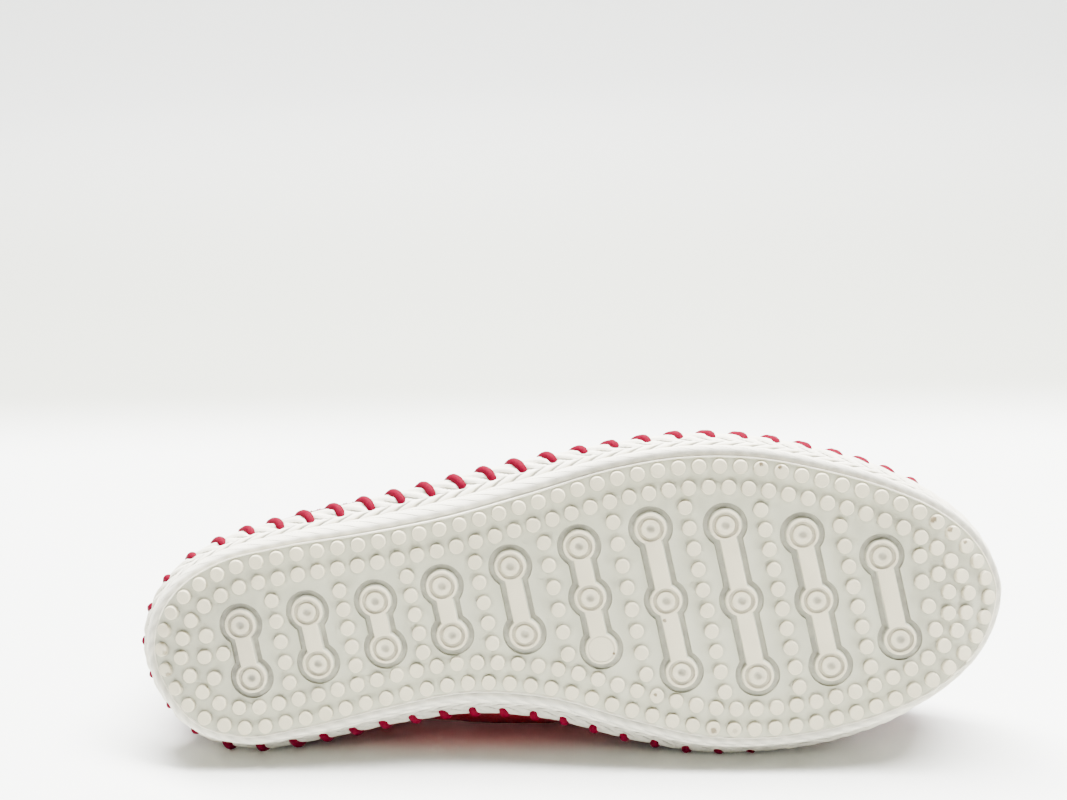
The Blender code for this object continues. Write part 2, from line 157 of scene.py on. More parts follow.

# Links: long lugs of two or three discs joined by a bar, set across the sole at a slant, each in a moat.
LINKS = (  # station, first disc, last disc, number of discs
    (34.2, -0.4, 15.5, 2),
    (54.2, -2.7, 12.8, 2),
    (74.3, -4.2, 9.9, 2),
    (94.0, -6.9, 7.7, 2),
    (114.6, -11.0, 9.1, 2),
    (135.5, -15.3, 15.1, 3),
    (157.0, -18.7, 23.8, 3),
    (178.3, -17.9, 26.5, 3),
    (199.4, -13.4, 25.2, 3),
    (220.2, -5.3, 19.1, 2),
)
BALL_LINK, HEEL_LINK = 7, 0  # the links that the record's two tread mounts stand on
PLAIN_DISC = (135.5, 2)  # the disc that carries no rings: station of its link and place in it
HEEL_SLANT = 0.09
TOE_SLANT = 0.137
DISC_RADIUS = 4.5
BAR_WIDTH = 4.6
DISC_STEPS = 44  # sides of a full disc
DISC_RINGS = (  # radius, depth under the lug's top as a share of its height, dust and painted shade
    (3.85, 0.0, 0.0),
    (3.65, 0.46, 0.5),
    (2.8, 0.48, 0.5),
    (2.6, 0.08, 0.1),
    (2.4, 0.0, 0.0),
    (1.4, 0.03, 0.1),
    (1.0, 0.25, 0.55),
    (0.5, 0.36, 0.75),
)
PLAIN_RINGS = ((4.0, 0.0, 0.0), (3.85, 0.12, 0.3), (3.65, 0.13, 0.3), (3.5, 0.02, 0.0))
MOAT_STEPS = (  # growth past the link in moat widths, height in moat depths, dust and painted shade
    (1.06, 0.0, 0.0),
    (1.02, -0.2, 0.55),
    (0.97, -1.0, 0.74),
    (0.2, -1.0, 0.7),
)
MOAT_SAMPLES = 300  # points on a moat's edge from which distances are measured
LUG_STEPS = ((0.05, 0.72, 0.3), (-0.08, 0.93, 0.05), (-0.3, 1.0, 0.0))  # growth, height in lugs, dust and painted shade
LUG_PAINT = 0.35  # share of the lug's height from where its own rubber begins
TREAD_SHARP = 38  # degrees from where an edge of the tread stays sharp
# Darker tread base towards the heel and the toe: strength, and the stations over which it fades out or in.
HEEL_DARKENING = (0.35, (12, 60))
TOE_DARKENING = (0.3, (212, 245))
# Loose points of the tread between the lugs: first place, last place and step, in both directions.
FILL_STATIONS = (12.0, 249.0, 3.0)
FILL_OFFSETS = (-38.0, 46.0, 3.0)
FILL_TO_LINK = 8.0  # their least distance to a link's centre line
FILL_TO_EDGE = 1.5
LINE_PLACES = 9  # places on that line from which it is measured

# Spots of dirt on the lugs: station, offset to the inner side, radius, strength.
SOIL_SPOTS = (
    (233.4, -14.6, 1.3, 0.9), (238.0, -11.2, 1.1, 0.85), (242.2, -6.8, 0.8, 0.8),
    (186.9, -34.6, 0.8, 0.9), (192.0, -33.4, 0.9, 0.95), (167.2, 41.6, 1.2, 0.8), (173.3, 42.2, 1.0, 0.35),
    (151.5, 29.7, 0.7, 0.85), (10.1, 13.1, 1.3, 0.7), (9.8, 6.3, 1.0, 0.45), (140.8, 16.6, 0.6, 0.95),
    (156.1, 8.1, 0.7, 0.75), (229.3, -1.4, 0.6, 0.7), (154.9, 40.1, 0.6, 0.6),
)

# Side of the sole: a lip, a rope roll, a groove and a braided band that leans out to the rim.
WALL_PROFILE = (  # share of the flare, share of the height from tread to rim
    (0.20, 0.07),
    (0.37, 0.20),
    (0.43, 0.32),
    (0.39, 0.38),
    (0.56, 0.46),
    (0.70, 0.58),
    (0.92, 0.72),
    (1.00, 0.84),
    (0.80, 1.00),
)
RIM_WIDTH = 3.2
CUP_TOP_REACH = 0.85
CUP_FOOT_REACH = 0.45
WALL_STEPS = 840  # outline points on each side
TREAD_STEPS = WALL_STEPS // 5
WALL_TUCK = (-0.9, 0.6)  # offset and height of the edge that is tucked in behind the tread
BRAID_LINE = WALL_PROFILE[5][0]  # share of the flare at the braid's centre line
# Row numbers of the wall's section, counted from the tuck under the tread.
EDGE_ROW = 1.0
BRAID_ROW = 7.0
CUP_ROW = 12.0
WALL_RINGS = (  # first row, last row, number of rings
    (0.0, 0.6, 2), (EDGE_ROW, 1.6, 7), (1.8, 4.4, 14), (4.6, 5.4, 6), (5.6, 8.4, 16), (8.65, 10.0, 6),
    (10.25, 10.6, 2), (11.0, 11.4, 2), (CUP_ROW, CUP_ROW, 1),
)
# Strands of the rope, of the painted shade under it and of the braid's two rows: lean in pitches per row,
# the row they are counted from, their shift in pitches, the crease's half width in pitches and the strength
# of its dust and painted shade, and the rows where it begins and ends.
STRANDS = {
    "rope": (0.9, 3.0, 0.0, 0.10, 0.5, (1.7, 2.3), (4.1, 4.6)),
    "roll": (0.9, 3.0, 0.3, 0.5, 0.35, (1.3, 1.5), (2.2, 3.1)),
    "lower": (-0.6, 6.0, 0.0, 0.2, 1.0, (4.8, 5.2), (6.3, 6.9)),
    "upper": (1.1, 7.2, 0.5, 0.18, 0.85, (6.5, 6.8), (7.2, 7.8)),
}
# Parts of the side: the rows, or the shares of the way round, over which each one begins and ends.
ROPE_ROWS = ((1.5, 2.1), (4.2, 4.7))
ROLL_ROWS = ((1.35, 2.2), (2.5, 3.8))
BRAID_ROWS = ((4.7, 5.1), (7.8, 8.8))
INNER_SIDE = ((0.55, 0.63), (0.9, 0.97))
OUTER_BALL = ((0.2, 0.29), (0.46, 0.55))
# Relief of the side.
LIP = (1.08, 0.13)  # row and half width
LIP_GROOVE = (1.42, 0.2)
LIP_GROOVE_DEPTH = 1.6  # in lip heights
ROPE_FULLNESS = 0.6  # power that rounds the strands: the lower, the fuller
ROPE_BED = 0.3  # height of the rope's creases, in strand heights
ROLL_ELSEWHERE = 0.35  # share of the roll that is left away from the outer ball
BRAID_FULLNESS = 0.5
BRAID_BED = 0.55  # depth of the braid's bed, in strand heights
BRAID_ROUNDS = {"lower": (5.95, 1.15), "upper": (7.8, 1.5)}  # middle row and reach
# Dust and painted shade in the side's grooves over the lip and between rope and braid: strength, row and
# half width.
DUST_AND_SHADE_LINES = ((0.7, 1.42, 0.14), (0.4, 4.95, 0.3))
# Painted shade over the lower half of the rope roll, which is turned away from the light overhead: strength,
# row and half width.
PAINTED_ROLL_SHADE = (0.7, 1.85, 0.6)
ROLL_SHADE_ELSEWHERE = 0.15  # share of it that is left away from the outer ball
# Painted shade of the inner side, which faces the floor: strength below and gain above, rows of the gain,
# rows where it ends.
INNER_SHADE = (0.34, 0.3)
INNER_GAIN_ROWS = (2.0, 4.5)
INNER_END_ROWS = (9.0, 10.0)
INNER_SHADE_LINES = (0.22, 0.06, 0.9)  # painted lines of shade in it: strength, drift in rows per pitch, rows apart
INNER_LINE_ROWS = ((1.6, 2.2), (4.4, 5.0))
# Dents of the side under a stitch.
DENT_DEPTH = 0.5
DENT_WAY = ((-0.06, 0.0), (0.7, 0.95))  # shares of the stitch's way where a dent begins and ends
DENT_WIDTH = 1.2
HOLE_SIZE = (1.0, 0.3)  # half widths along the side, and in rows
HOLE_CLEARING = (1.6, 0.6)  # the same for the spot that the braid leaves free
# Rim stitches: share of the way from the hole to the inside of the rim, and how far off in cord radii.
STITCH_PATH = (
    (0.0, -1.8), (0.04, -0.6), (0.12, -0.1), (0.26, 0.1), (0.42, 0.05), (0.56, 0.0), (0.7, 0.0),
    (0.83, 0.05), (0.93, 0.1), (1.0, 0.0),
)
STITCH_END = 11.1  # row where a stitch goes down behind the rim
STITCH_CURVE = 1.5
STITCH_TURN = 0.68  # share of its way where a stitch has leaned all it will
HOLE_RISE = 3.2  # rows by which the holes climb where the stitches show least
STITCH_SINK = 1.2  # cord radii by which such stitches lie deeper in the side
STITCH_SINK_END = (9.2, 10.2)  # rows over which they come up again
LEAST_LEAN = 0.2  # share of the full lean that they keep
STITCH_SIDES = 12
STITCH_POINTS = 18
INNER_LEAN = 0.55  # lean of the stitches on the inner side, as a share of the lean on the outer side
STITCH_SHOW = (  # share of the way round from the heel, how much of a stitch shows on the side
    (0.0, 0.6), (0.0225, 0.67), (0.04, 0.69), (0.0575, 0.73), (0.075, 0.87), (0.091, 0.87), (0.107, 0.96),
    (0.122, 1.0), (0.222, 1.0), (0.234, 0.99), (0.25, 0.88), (0.265, 0.78), (0.281, 0.77), (0.297, 0.77),
    (0.33, 0.72), (0.345, 0.7), (0.377, 0.64), (0.393, 0.56), (0.419, 0.52), (0.433, 0.42), (0.444, 0.0),
    (0.64, 0.0), (0.66, 0.64), (0.68, 0.76), (0.75, 0.78), (0.79, 0.82), (0.88, 0.9), (0.935, 1.12),
    (0.953, 0.72), (0.97, 0.64), (1.0, 0.6),
)
# They sit wider apart round the heel and closer by the toe: share of the stitches, share of the way round.
STITCH_SPREAD = (
    (0.0, 0.0), (0.0692, 0.0749), (0.3918, 0.3924), (0.4563, 0.447), (0.6434, 0.64), (0.9079, 0.9003),
    (1.0, 1.0),
)

# Topline seam: share of the way along one stitch, and how deep it lies in thread radii.
SEAM_PATH = ((0.08, 1.2), (0.2, -0.3), (0.5, -0.6), (0.8, -0.3), (0.92, 1.2))
SEAM_SIDES = 6
SEAM_POINTS = 7

# Upper: one leather wall from the cup's floor to the topline, closed over the toes along a ridge.
UPPER_STEPS = 170
UPPER_RISE_STEPS = 6
UPPER_RINGS = ((0, 1, 4), (1.15, 3, 13), (3.2, 3 + UPPER_RISE_STEPS, 30))  # first row, last row, number
BELLY_RISE = 11.0
TOE_BELLY_RISE = 4.5
TOE_BOX = (185.0, 250.0)  # stations between which the belly drops to the toe
BELLY_LIFT = (0.34, 0.62)  # share of the rise and of the swell where the wall clears the rim
TOP_BACK = 9.5
TOP_FRONT = 227.0
TOP_SAMPLES = 400
THROAT = 143.0
COLLAR_HALF_WIDTH = 29.5
COLLAR_POWER = 2.5
TOP_LINE = (  # station, offset to the inner side, height: topline to the throat, then the ridge
    (9.5, 8.0, 64.0),
    (30.0, 7.2, 60.5),
    (60.0, 5.2, 54.5),
    (90.0, 3.8, 52.0),
    (117.0, 3.4, 55.5),
    (143.0, 3.8, 63.5),
    (165.0, 4.8, 58.5),
    (190.0, 6.8, 50.5),
    (212.0, 8.6, 44.0),
    (227.0, 9.4, 40.0),
)
THROAT_GATHER = (137.0, 11.0, 3.0)  # place, half width and strength of the closer ribs round the throat
COLLAR_ARCHING = 0.3  # 0 is a straight wall, 1 a quarter ellipse
ARCHING_FROM = 95.0
ARCHING_TO = 150.0
VAMP_CREASES = (  # station on the ridge, bend to the toe per mm to the side, half width, share of depth
    (172.0, 0.14, 7.0, 1.0),
    (188.0, 0.2, 6.0, 0.6),
)

CREASE_SWELL = (0.45, 1.9)  # swell beside a crease: height in crease depths, distance in half widths
CREASE_SIDES = ((0.5, 6), (6, 34))  # distances from the ridge over the toes where a crease begins and ends
CREASE_HEIGHTS = (26, 36)  # heights over the ground where it begins
# Gathers, tuck and back seam of the upper, by their heights over the rim.
GATHER_HEIGHTS = ((0.5, 3.0), (4.0, 13.0))
TUCK_HEIGHTS = ((0.5, 4), (11, 22))
TUCK_DEPTH = 0.8  # the outer side draws in from the heel to the waist
TUCK_SIDE = (-12, 0)  # offsets to the inner side over which it ends
TUCK_STATIONS = (105, 130)  # stations over which it ends
BACK_SEAM = (0.4, 0.8)  # depth and half width
BACK_SEAM_HEIGHTS = (2, 5)
FOLD_EDGE = 0.4  # half the width of the step beside the folded topline

# Insole: a padded board on the cup's floor, inside the upper.
INSOLE_THICKNESS = 3.0
INSOLE_GAP = 0.8  # clearance to the upper
INSOLE_DISH = 0.45  # depth of the hollow along the middle
INSOLE_EDGE = 0.9  # drop of the rounded edge
INSOLE_EDGE_POWER = 24
INSOLE_STEPS = 120
INSOLE_ACROSS = 20

# Camera: its place in the shoe's frame and its turn from that frame, as an axis times an angle.
CAMERA_PLACE = (158.406, -114.727, -445.279)
CAMERA_TURN = (0.12903, 0.06842, -0.09461)
CAMERA_LENS = 53.98
SENSOR_WIDTH = 36.0
CAMERA_NEAR = 0.01

# Floor: a round dish with a bent-up wall, in metres.
FLOOR_CENTRE = (0.0, -1.0)
FLOOR_REACH = 2.4
FLOOR_BEND = 0.9
FLOOR_TOP = 1.6
FLOOR_SIDES = 72
FLOOR_BEND_STEPS = 16
# Its colours, by places on it in millimetres.
RED_BOUNCE_PLACE = (-25.0, -4.0, 0.0)  # where the painted red bounce light and shadow from the upper is strongest
RED_BOUNCE_REACH = (100.0, 26.0, 1000.0)
RED_BOUNCE_FADE = (0.3, 1.0, 0.8, 0.0)  # two distances in reaches, and the strength of the painted red at each
FALLOFF_SHADE_START = (225.0, 330.0)  # how far behind the shoe the white floor passes into painted shade, the greyer colour for the light's falloff
FALLOFF_SHADE_END = (450.0, 1400.0)  # and where that painted shade passes back into the far wall
LIGHTS = (  # name, place, aim, size, power
    ("overhead", (0.1, 0.2, 1.25), (0.03, 0.05, 0.0), (1.6, 0.3), 185.0),
    ("backdrop", (0.0, 1.5, 2.0), (0.0, 2.3, 1.0), (2.6, 0.5), 50.0),
    ("fill", (-0.5, -1.5, 0.9), (0.0, 0.0, 0.03), (1.2, 1.2), 0.5),
)
ROOM_COLOUR = (1.0, 1.0, 0.99, 1)
ROOM_STRENGTH = 0.08


def length_setting(label, description, metres):
    """A length that can be set in the panel."""
    return FloatProperty(name=label, description=description, default=metres, unit="LENGTH")


def colour_setting(label, description, colour):
    """A colour that can be set in the panel."""
    return FloatVectorProperty(name=label, description=description, default=colour, subtype="COLOR")


class TreadSizes(bpy.types.PropertyGroup):
    """Sizes of the studs and links under the sole."""

    stud_radius: length_setting("Stud radius", "Radius of a round stud", 0.0021)
    lug_height: length_setting("Lug height", "How far studs and links stand out", 0.0012)
    moat_width: length_setting("Moat width", "Width of the moat round a link", 0.0018)
    moat_depth: length_setting("Moat depth", "Depth of the moat round a link", 0.0006)
    stud_spread: FloatProperty(
        name="Stud spread", description="How much the studs differ in size", default=0.025, subtype="FACTOR"
    )


class WallSizes(bpy.types.PropertyGroup):
    """Sizes of the sole's moulded side."""

    braid_pitch: length_setting("Braid pitch", "Length of one strand's repeat", 0.0058)
    braid_relief: length_setting("Braid relief", "Height of the braid's strands", 0.0013)
    rope_relief: length_setting("Rope relief", "Height of the rope's strands", 0.0004)
    lip_relief: length_setting("Lip relief", "Height of the lip round the tread", 0.0004)
    roll_relief: length_setting("Roll relief", "How far the rope rolls out below", 0.0008)


class StitchSizes(bpy.types.PropertyGroup):
    """Sizes of the stitches that hold the upper to the rim, and of those at the topline."""

    count: IntProperty(name="Stitches", description="Number of stitches round the rim", default=62)
    shift: FloatProperty(
        name="Shift", description="Place of the first stitch, in pitches from the heel", default=0.29
    )
    width: length_setting("Cord width", "Width of the cord", 0.0027)
    lean: length_setting("Lean", "How far a stitch leans over the rim", 0.005)
    seam_pitch: length_setting("Seam pitch", "Length of one stitch at the topline", 0.0031)
    seam_inset: length_setting("Seam inset", "The seam's distance to the topline", 0.0031)
    thread_width: length_setting("Thread width", "Width of the topline thread", 0.0007)


class UpperSizes(bpy.types.PropertyGroup):
    """Sizes of the leather upper."""

    wall: length_setting("Wall", "Leather and its lining", 0.0018)
    pucker: length_setting("Pucker", "Depth of the gathers at the rim stitches", 0.0004)
    crease: length_setting("Crease", "Depth of the creases over the toes", 0.0006)
    fold: length_setting("Fold", "Width of the folded edge at the topline", 0.0045)
    fold_relief: length_setting("Fold relief", "How far the folded edge stands out", 0.00035)


class Finishes(bpy.types.PropertyGroup):
    """Colours of the shoe and of its floor."""

    # Rubber between the lugs is darker than the lug rubber: partly the worn tops of the lugs, partly painted
    # shade of the recessed base.
    rubber: colour_setting("Rubber", "Sole between the lugs", (0.54, 0.535, 0.405))
    lug_rubber: colour_setting("Lug rubber", "Studs and links", (0.65, 0.59, 0.425))
    wall_rubber: colour_setting("Wall rubber", "Side of the sole", (0.91, 0.87, 0.735))
    # Dust and painted shade: grey laid into the sole's hollows, grooves and creases, and over the shaded
    # parts of its side.
    dust_and_shade: colour_setting("Dust", "Grey in the sole's hollows", (0.24, 0.23, 0.19))
    soil: colour_setting("Soil", "Spots of dirt on the lugs", (0.14, 0.10, 0.05))
    leather: colour_setting("Leather", "Outside of the upper", (0.13, 0.0006, 0.005))
    cord: colour_setting("Cord", "Stitches over the rim", (0.14, 0.0003, 0.0145))
    lining: colour_setting("Lining", "Inside of the upper", (0.60, 0.47, 0.34))
    insole: colour_setting("Insole", "Top of the insole", (0.55, 0.40, 0.27))
    floor: colour_setting("Floor", "Floor and far walls", (0.92, 0.93, 0.90))
    # Painted shade: the greyer colour behind the shoe stands for the light falling off over the floor and
    # its bend.
    backdrop: colour_setting("Backdrop", "Paper behind the floor", (0.49, 0.50, 0.435))
    # Painted red bounce light and shadow on the floor beside the upper.
    painted_red_bounce: colour_setting("Blush", "Floor by the upper's red", (0.87, 0.26, 0.28))


class SlipOnSettings(bpy.types.PropertyGroup):
    """All the sizes and colours of the slip-on."""

    tread: PointerProperty(type=TreadSizes)
    wall: PointerProperty(type=WallSizes)
    stitch: PointerProperty(type=StitchSizes)
    upper: PointerProperty(type=UpperSizes)
    finish: PointerProperty(type=Finishes)


def smooth(low, high, value):
    """0 below low, 1 above high, with an even ease between them."""
    share = np.clip((np.asarray(value, float) - low) / (high - low), 0, 1)
    return share * share * (3 - 2 * share)


def within(value, begins, ends):
    """0, then 1 from the end of one range to the start of the other, then 0, with an even ease over both."""
    return smooth(*begins, value) * (1 - smooth(*ends, value))


def hump(value, centre, half_width):
    """A soft hump of height 1 round a centre."""
    return np.exp(-(((value - centre) / half_width) ** 2))


def looped(points):
    """The points and then the first one again."""
    return np.vstack([points, points[:1]])


def circle(count):
    """Even places round a circle of radius 1."""
    angles = np.linspace(0, 2 * math.pi, count, endpoint=False)
    return np.stack([np.cos(angles), np.sin(angles)], 1)


def chain(start, count):
    """Edges that join count points one after the other."""
    return [(start + k, start + k + 1) for k in range(count - 1)]


def row_places(runs):
    """Row numbers of rings, from runs of first row, last row and number."""
    return np.concatenate([np.linspace(*run) for run in runs])


def traced(rows, closed):
    """A smooth curve through the rows, with the same number of points in each span."""
    rows = np.array(rows, float)
    if closed:
        rows = np.vstack([rows[-1], rows, rows[:2]])
    else:
        rows = np.vstack([2 * rows[0] - rows[1], rows, 2 * rows[-1] - rows[-2]])
    spans = np.linalg.norm(np.diff(rows[:, :2], axis=0), axis=1)[:, None]
    slopes = np.diff(rows, axis=0) / spans
    tangents = (slopes[:-1] * spans[1:] + slopes[1:] * spans[:-1]) / (spans[1:] + spans[:-1])
    share = np.linspace(0, 1, SPLINE_STEPS, endpoint=False)[:, None]
    curve = []
    for i in range(1, len(rows) - 2):
        start, end, span = rows[i], rows[i + 1], spans[i]
        curve.append(
            start * (1 + 2 * share) * (1 - share) ** 2
            + end * share**2 * (3 - 2 * share)
            + tangents[i - 1] * span * share * (1 - share) ** 2
            - tangents[i] * span * share**2 * (1 - share)
        )
    if not closed:
        curve.append(rows[-2:-1])
    return np.vstack(curve)


def run_of(points):
    """Distance along the points, from the first one."""
    return np.concatenate([[0], np.cumsum(np.linalg.norm(np.diff(points, axis=0), axis=1))])


def resampled(points, shares):
    """Rows of points at these shares of the way along them."""
    run = run_of(points[:, :2])
    return np.stack([np.interp(shares * run[-1], run, column) for column in points.T], 1)


def between(rows, places):
    """Smooth rows at fractional row numbers."""
    rows = np.asarray(rows, float)
    padded = np.concatenate([2 * rows[:1] - rows[1:2], rows, 2 * rows[-1:] - rows[-2:-1]])
    whole = np.clip(np.floor(places).astype(int), 0, len(rows) - 2)
    share = (places - whole).reshape((-1,) + (1,) * (rows.ndim - 1))
    before, start, end, after = (padded[whole + k] for k in range(4))
    return 0.5 * (
        2 * start
        + (end - before) * share
        + (2 * before - 5 * start + 4 * end - after) * share**2
        + (3 * start - before - 3 * end + after) * share**3
    )


def section_loop():
    """Rows of x, y, flare, belly, rim and floor: heel tip, outer side, toe tip, inner side."""
    rows = [dict(zip(SECTION_COLUMNS, row)) for row in SECTIONS]
    sides = []
    for side, sign in (("outer", -1), ("inner", 1)):
        names = (side, side + "_flare", side + "_belly", "rim", "floor")
        columns = [[row[name] for row in rows] for name in names]
        columns[0] = [sign * width for width in columns[0]]
        sides.append(list(zip([row["station"] for row in rows], *columns)))
    outer, inner = sides
    return outer + inner[-2:0:-1], len(rows) - 1


def outline(steps):
    """The tread's outline: steps even points from the heel tip along each side, with the outward direction.

    Point i of the outer side faces point -i of the inner side. Returns a dict of arrays.
    """
    loop, spans = section_loop()
    dense = traced(loop, closed=True)
    ring = looped(dense)
    middle = spans * SPLINE_STEPS
    shares = np.linspace(0, 1, steps + 1)
    outer = resampled(ring[: middle + 1], shares)
    inner = resampled(ring[middle:], shares)
    points = np.vstack([outer[:-1], inner[:-1]])
    place = points[:, :2]
    along = np.roll(place, -1, axis=0) - np.roll(place, 1, axis=0)
    along /= np.linalg.norm(along, axis=1)[:, None]
    right = np.stack([along[:, 1], -along[:, 0]], 1)
    outward = np.sign(((place - place.mean(0)) * right).sum())
    edge = dict(zip(("flare", "belly", "rim", "floor"), points.T[2:]))
    return edge | {"place": place, "out": right * outward}


def beside(edge, offset):
    """The outline moved outwards, by one offset or by one for each point."""
    return edge["place"] + edge["out"] * np.reshape(offset, (-1, 1))


def ring_at(edge, offset, height):
    """A ring of points round the outline, at these offsets and heights."""
    return np.column_stack([beside(edge, offset), height])


def tread_height(x):
    """Height of the lug tops over the ground at these stations."""
    x = np.asarray(x, float)
    toe = np.maximum(0.0, x - TOE_SPRING_START) ** 2 / (2 * TOE_SPRING_RADIUS)
    heel = np.maximum(0.0, HEEL_ROLL_END - x) ** 2 / (2 * HEEL_ROLL_RADIUS)
    share = np.clip((x - ARCH_START) / (ARCH_END - ARCH_START), 0, 1)
    return toe + heel + ARCH_RISE * np.sin(math.pi * share) ** 2


def base_height(x, sizes):
    """Height of the tread between the lugs at these stations."""
    return tread_height(x) + sizes.lug_height / MM


def slant(station):
    """How much a link or column leans forward for each millimetre to the inner side."""
    first, last = LINKS[0][0], LINKS[-1][0]
    return HEEL_SLANT + (TOE_SLANT - HEEL_SLANT) * (station - first) / (last - first)


def slanted_row(station, first, last, count):
    """Evenly spaced places across the sole, from the outer to the inner side."""
    middle = (first + last) / 2
    return [(station + slant(station) * (y - middle), y) for y in np.linspace(first, last, count)]


def stud_places():
    """Centres of all the studs."""
    places = list(FILLER_STUDS)
    edge = outline(WALL_STEPS)
    for inset, count, shift in EDGE_ROWS:
        share = (np.arange(count) + shift) / count
        share += EDGE_SWAY / count * np.cos(2 * math.pi * (share - EDGE_SWAY_CENTRE))
        places += [tuple(p) for p in resampled(looped(beside(edge, -inset)), share % 1)]
    for station, first, last, count in STUD_COLUMNS:
        places += slanted_row(station, first, last, count)
    return np.array(places)


def link_loop(row, grow):
    """The outline of one link, grown all round: down one side of the bar and up the other."""
    discs = [np.array(p) for p in slanted_row(*row)]
    along = (discs[-1] - discs[0]) / np.linalg.norm(discs[-1] - discs[0])
    side = np.array([-along[1], along[0]])
    radius = DISC_RADIUS + grow
    mouth = math.asin((BAR_WIDTH / 2 + grow) / radius)
    end_steps = round(DISC_STEPS * (1 - mouth / math.pi))
    middle_steps = max(2, round(DISC_STEPS * (0.5 - mouth / math.pi)))

    def arc(centre, start, stop, steps):
        angles = np.linspace(start, stop, steps + 1)
        return [centre + radius * (math.cos(a) * along + math.sin(a) * side) for a in angles]

    points = arc(discs[-1], math.pi + mouth, 3 * math.pi - mouth, end_steps)
    for disc in discs[-2:0:-1]:
        points += arc(disc, mouth, math.pi - mouth, middle_steps)
    points += arc(discs[0], mouth, 2 * math.pi - mouth, end_steps)
    for disc in discs[1:-1]:
        points += arc(disc, math.pi + mouth, 2 * math.pi - mouth, middle_steps)
    return np.array(points)


def link_middle(number):
    """The middle of a link's top, on the ground."""
    station, first, last, _ = LINKS[number]
    return Vector((station, (first + last) / 2, 0)) * MM


def shoe_matrix():
    """The rigid move from the shoe's frame to the row frame, read from the record's two tread mounts."""
    mounts = {m["name"]: m for m in frame["record"]["mounts"]}
    up = -Vector(mounts["ball_tread"]["axis"]).normalized()
    ball, heel = (Vector(mounts[name]["pos_m"]) for name in ("ball_tread", "heel_tread"))
    heel_mark = link_middle(HEEL_LINK)
    row_along = (ball - heel).normalized()
    shoe_along = (link_middle(BALL_LINK) - heel_mark).normalized()
    shoe_up = Vector((0, 0, 1))
    row_axes = Matrix((row_along, up.cross(row_along), up)).transposed()
    shoe_axes = Matrix((shoe_along, shoe_up.cross(shoe_along), shoe_up)).transposed()
    turn = row_axes @ shoe_axes.transposed()
    return Matrix.Translation(heel - turn @ heel_mark) @ turn.to_4x4()


LAID = np.array(shoe_matrix())


def laid(points):
    """Points of the shoe's frame in millimetres, carried to the row frame in metres."""
    return np.asarray(points, float) * MM @ LAID[:3, :3].T + LAID[:3, 3]


def laid_directions(vectors):
    """Directions of the shoe's frame, turned to the row frame."""
    return np.asarray(vectors, float) @ LAID[:3, :3].T


def bands(rings, count):
    """Quads between successive rings of count points."""
    return [
        (r * count + i, r * count + (i + 1) % count, (r + 1) * count + (i + 1) % count, (r + 1) * count + i)
        for r in range(rings - 1)
        for i in range(count)
    ]


def ladder(start, steps):
    """Faces that close a ring of 2 * steps points, rung by rung from the heel tip to the toe tip."""
    count = 2 * steps
    faces = []
    for i in range(steps):
        rung = (i, i + 1, count - i - 1, (count - i) % count)
        faces.append(tuple(start + k for k in dict.fromkeys(rung)))
    return faces


def placed(name, data):
    """A new object of the scene."""
    made = bpy.data.objects.new(name, data)
    bpy.context.scene.collection.objects.link(made)
    return made


def new_piece(name, points, faces, materials, sharp=None):
    """A named mesh object from points in the shoe's frame, with smooth faces that point outwards."""
    mesh = bpy.data.meshes.new(name)
    mesh.from_pydata(laid(points).tolist(), [], faces)
    piece = placed(name, mesh)
    for material in materials:
        mesh.materials.append(material)
    mesh.shade_smooth()
    if sharp is not None:
        mesh.set_sharp_from_angle(angle=math.radians(sharp))
    return piece


def paint_dust_and_shade(piece, dust_and_shade):
    """Stores how much dust and painted shade lies at each point, from 0 to 1, for the rubber's finish."""
    attribute = piece.data.attributes.new("dust_and_shade", "FLOAT", "POINT")
    attribute.data.foreach_set("value", np.clip(dust_and_shade, 0, 1).astype(np.float32).ravel())


def on_floor(piece):
    """Keeps every point of a piece at or over the floor, where the shoe lies on it."""
    for vertex in piece.data.vertices:
        vertex.co.z = max(vertex.co.z, FLOOR_GAP * MM)


def weld(piece, finish_off):
    """Joins points of a sheet that coincide, then finishes its mesh off."""
    work = bmesh.new()
    work.from_mesh(piece.data)
    bmesh.ops.remove_doubles(work, verts=work.verts, dist=WELD_REACH * MM)
    finish_off(work)
    work.to_mesh(piece.data)
    work.free()


def thicken(piece, name, thickness, lining=0):
    """Gives a sheet its thickness, inwards, and its inner face the material this many slots further on."""
    shell = piece.modifiers.new(name, "SOLIDIFY")
    shell.thickness = thickness
    shell.offset = -1
    shell.material_offset = lining


def settle(piece, node, replaced=True):
    """Puts a finished piece on the shoe's body and, if it replaces a solid of the packed model, hides that
    solid.
    """
    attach(piece, BODY)
    if replaced:
        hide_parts(node)


def normals_of(grid):
    """Outward directions of a grid of rings, whose points run round and whose rings run up."""
    round_way = np.roll(grid, -1, axis=1) - np.roll(grid, 1, axis=1)
    up_way = np.gradient(grid, axis=0)
    normals = np.cross(up_way, round_way)
    return normals / np.maximum(np.linalg.norm(normals, axis=2, keepdims=True), 1e-9)


SHADER_SOCKETS = {
    "base_color": "Base Color",
    "roughness": "Roughness",
    "normal": "Normal",
    "specular": "Specular IOR Level",
    "coat_weight": "Coat Weight",
    "coat_roughness": "Coat Roughness",
}
MIX_COLOUR_SOCKETS = (0, 6, 7)  # a mix node's share and two colours, which go by number
MIX_COLOUR_RESULT = 2


def feed(tree, socket, value):
    """Gives a socket a value, a colour or another node's output."""
    if isinstance(value, bpy.types.NodeSocket):
        tree.links.new(value, socket)
    elif socket.type == "RGBA":
        socket.default_value = (*value, 1)
    else:
        socket.default_value = value


def new_node(tree, kind, inputs=(), **settings):
    """A node with its settings and inputs, each a value or another node's output."""
    made = tree.nodes.new(kind)
    for key, value in settings.items():
        setattr(made, key, value)
    for key, value in dict(inputs).items():
        feed(tree, made.inputs[key], value)
    return made


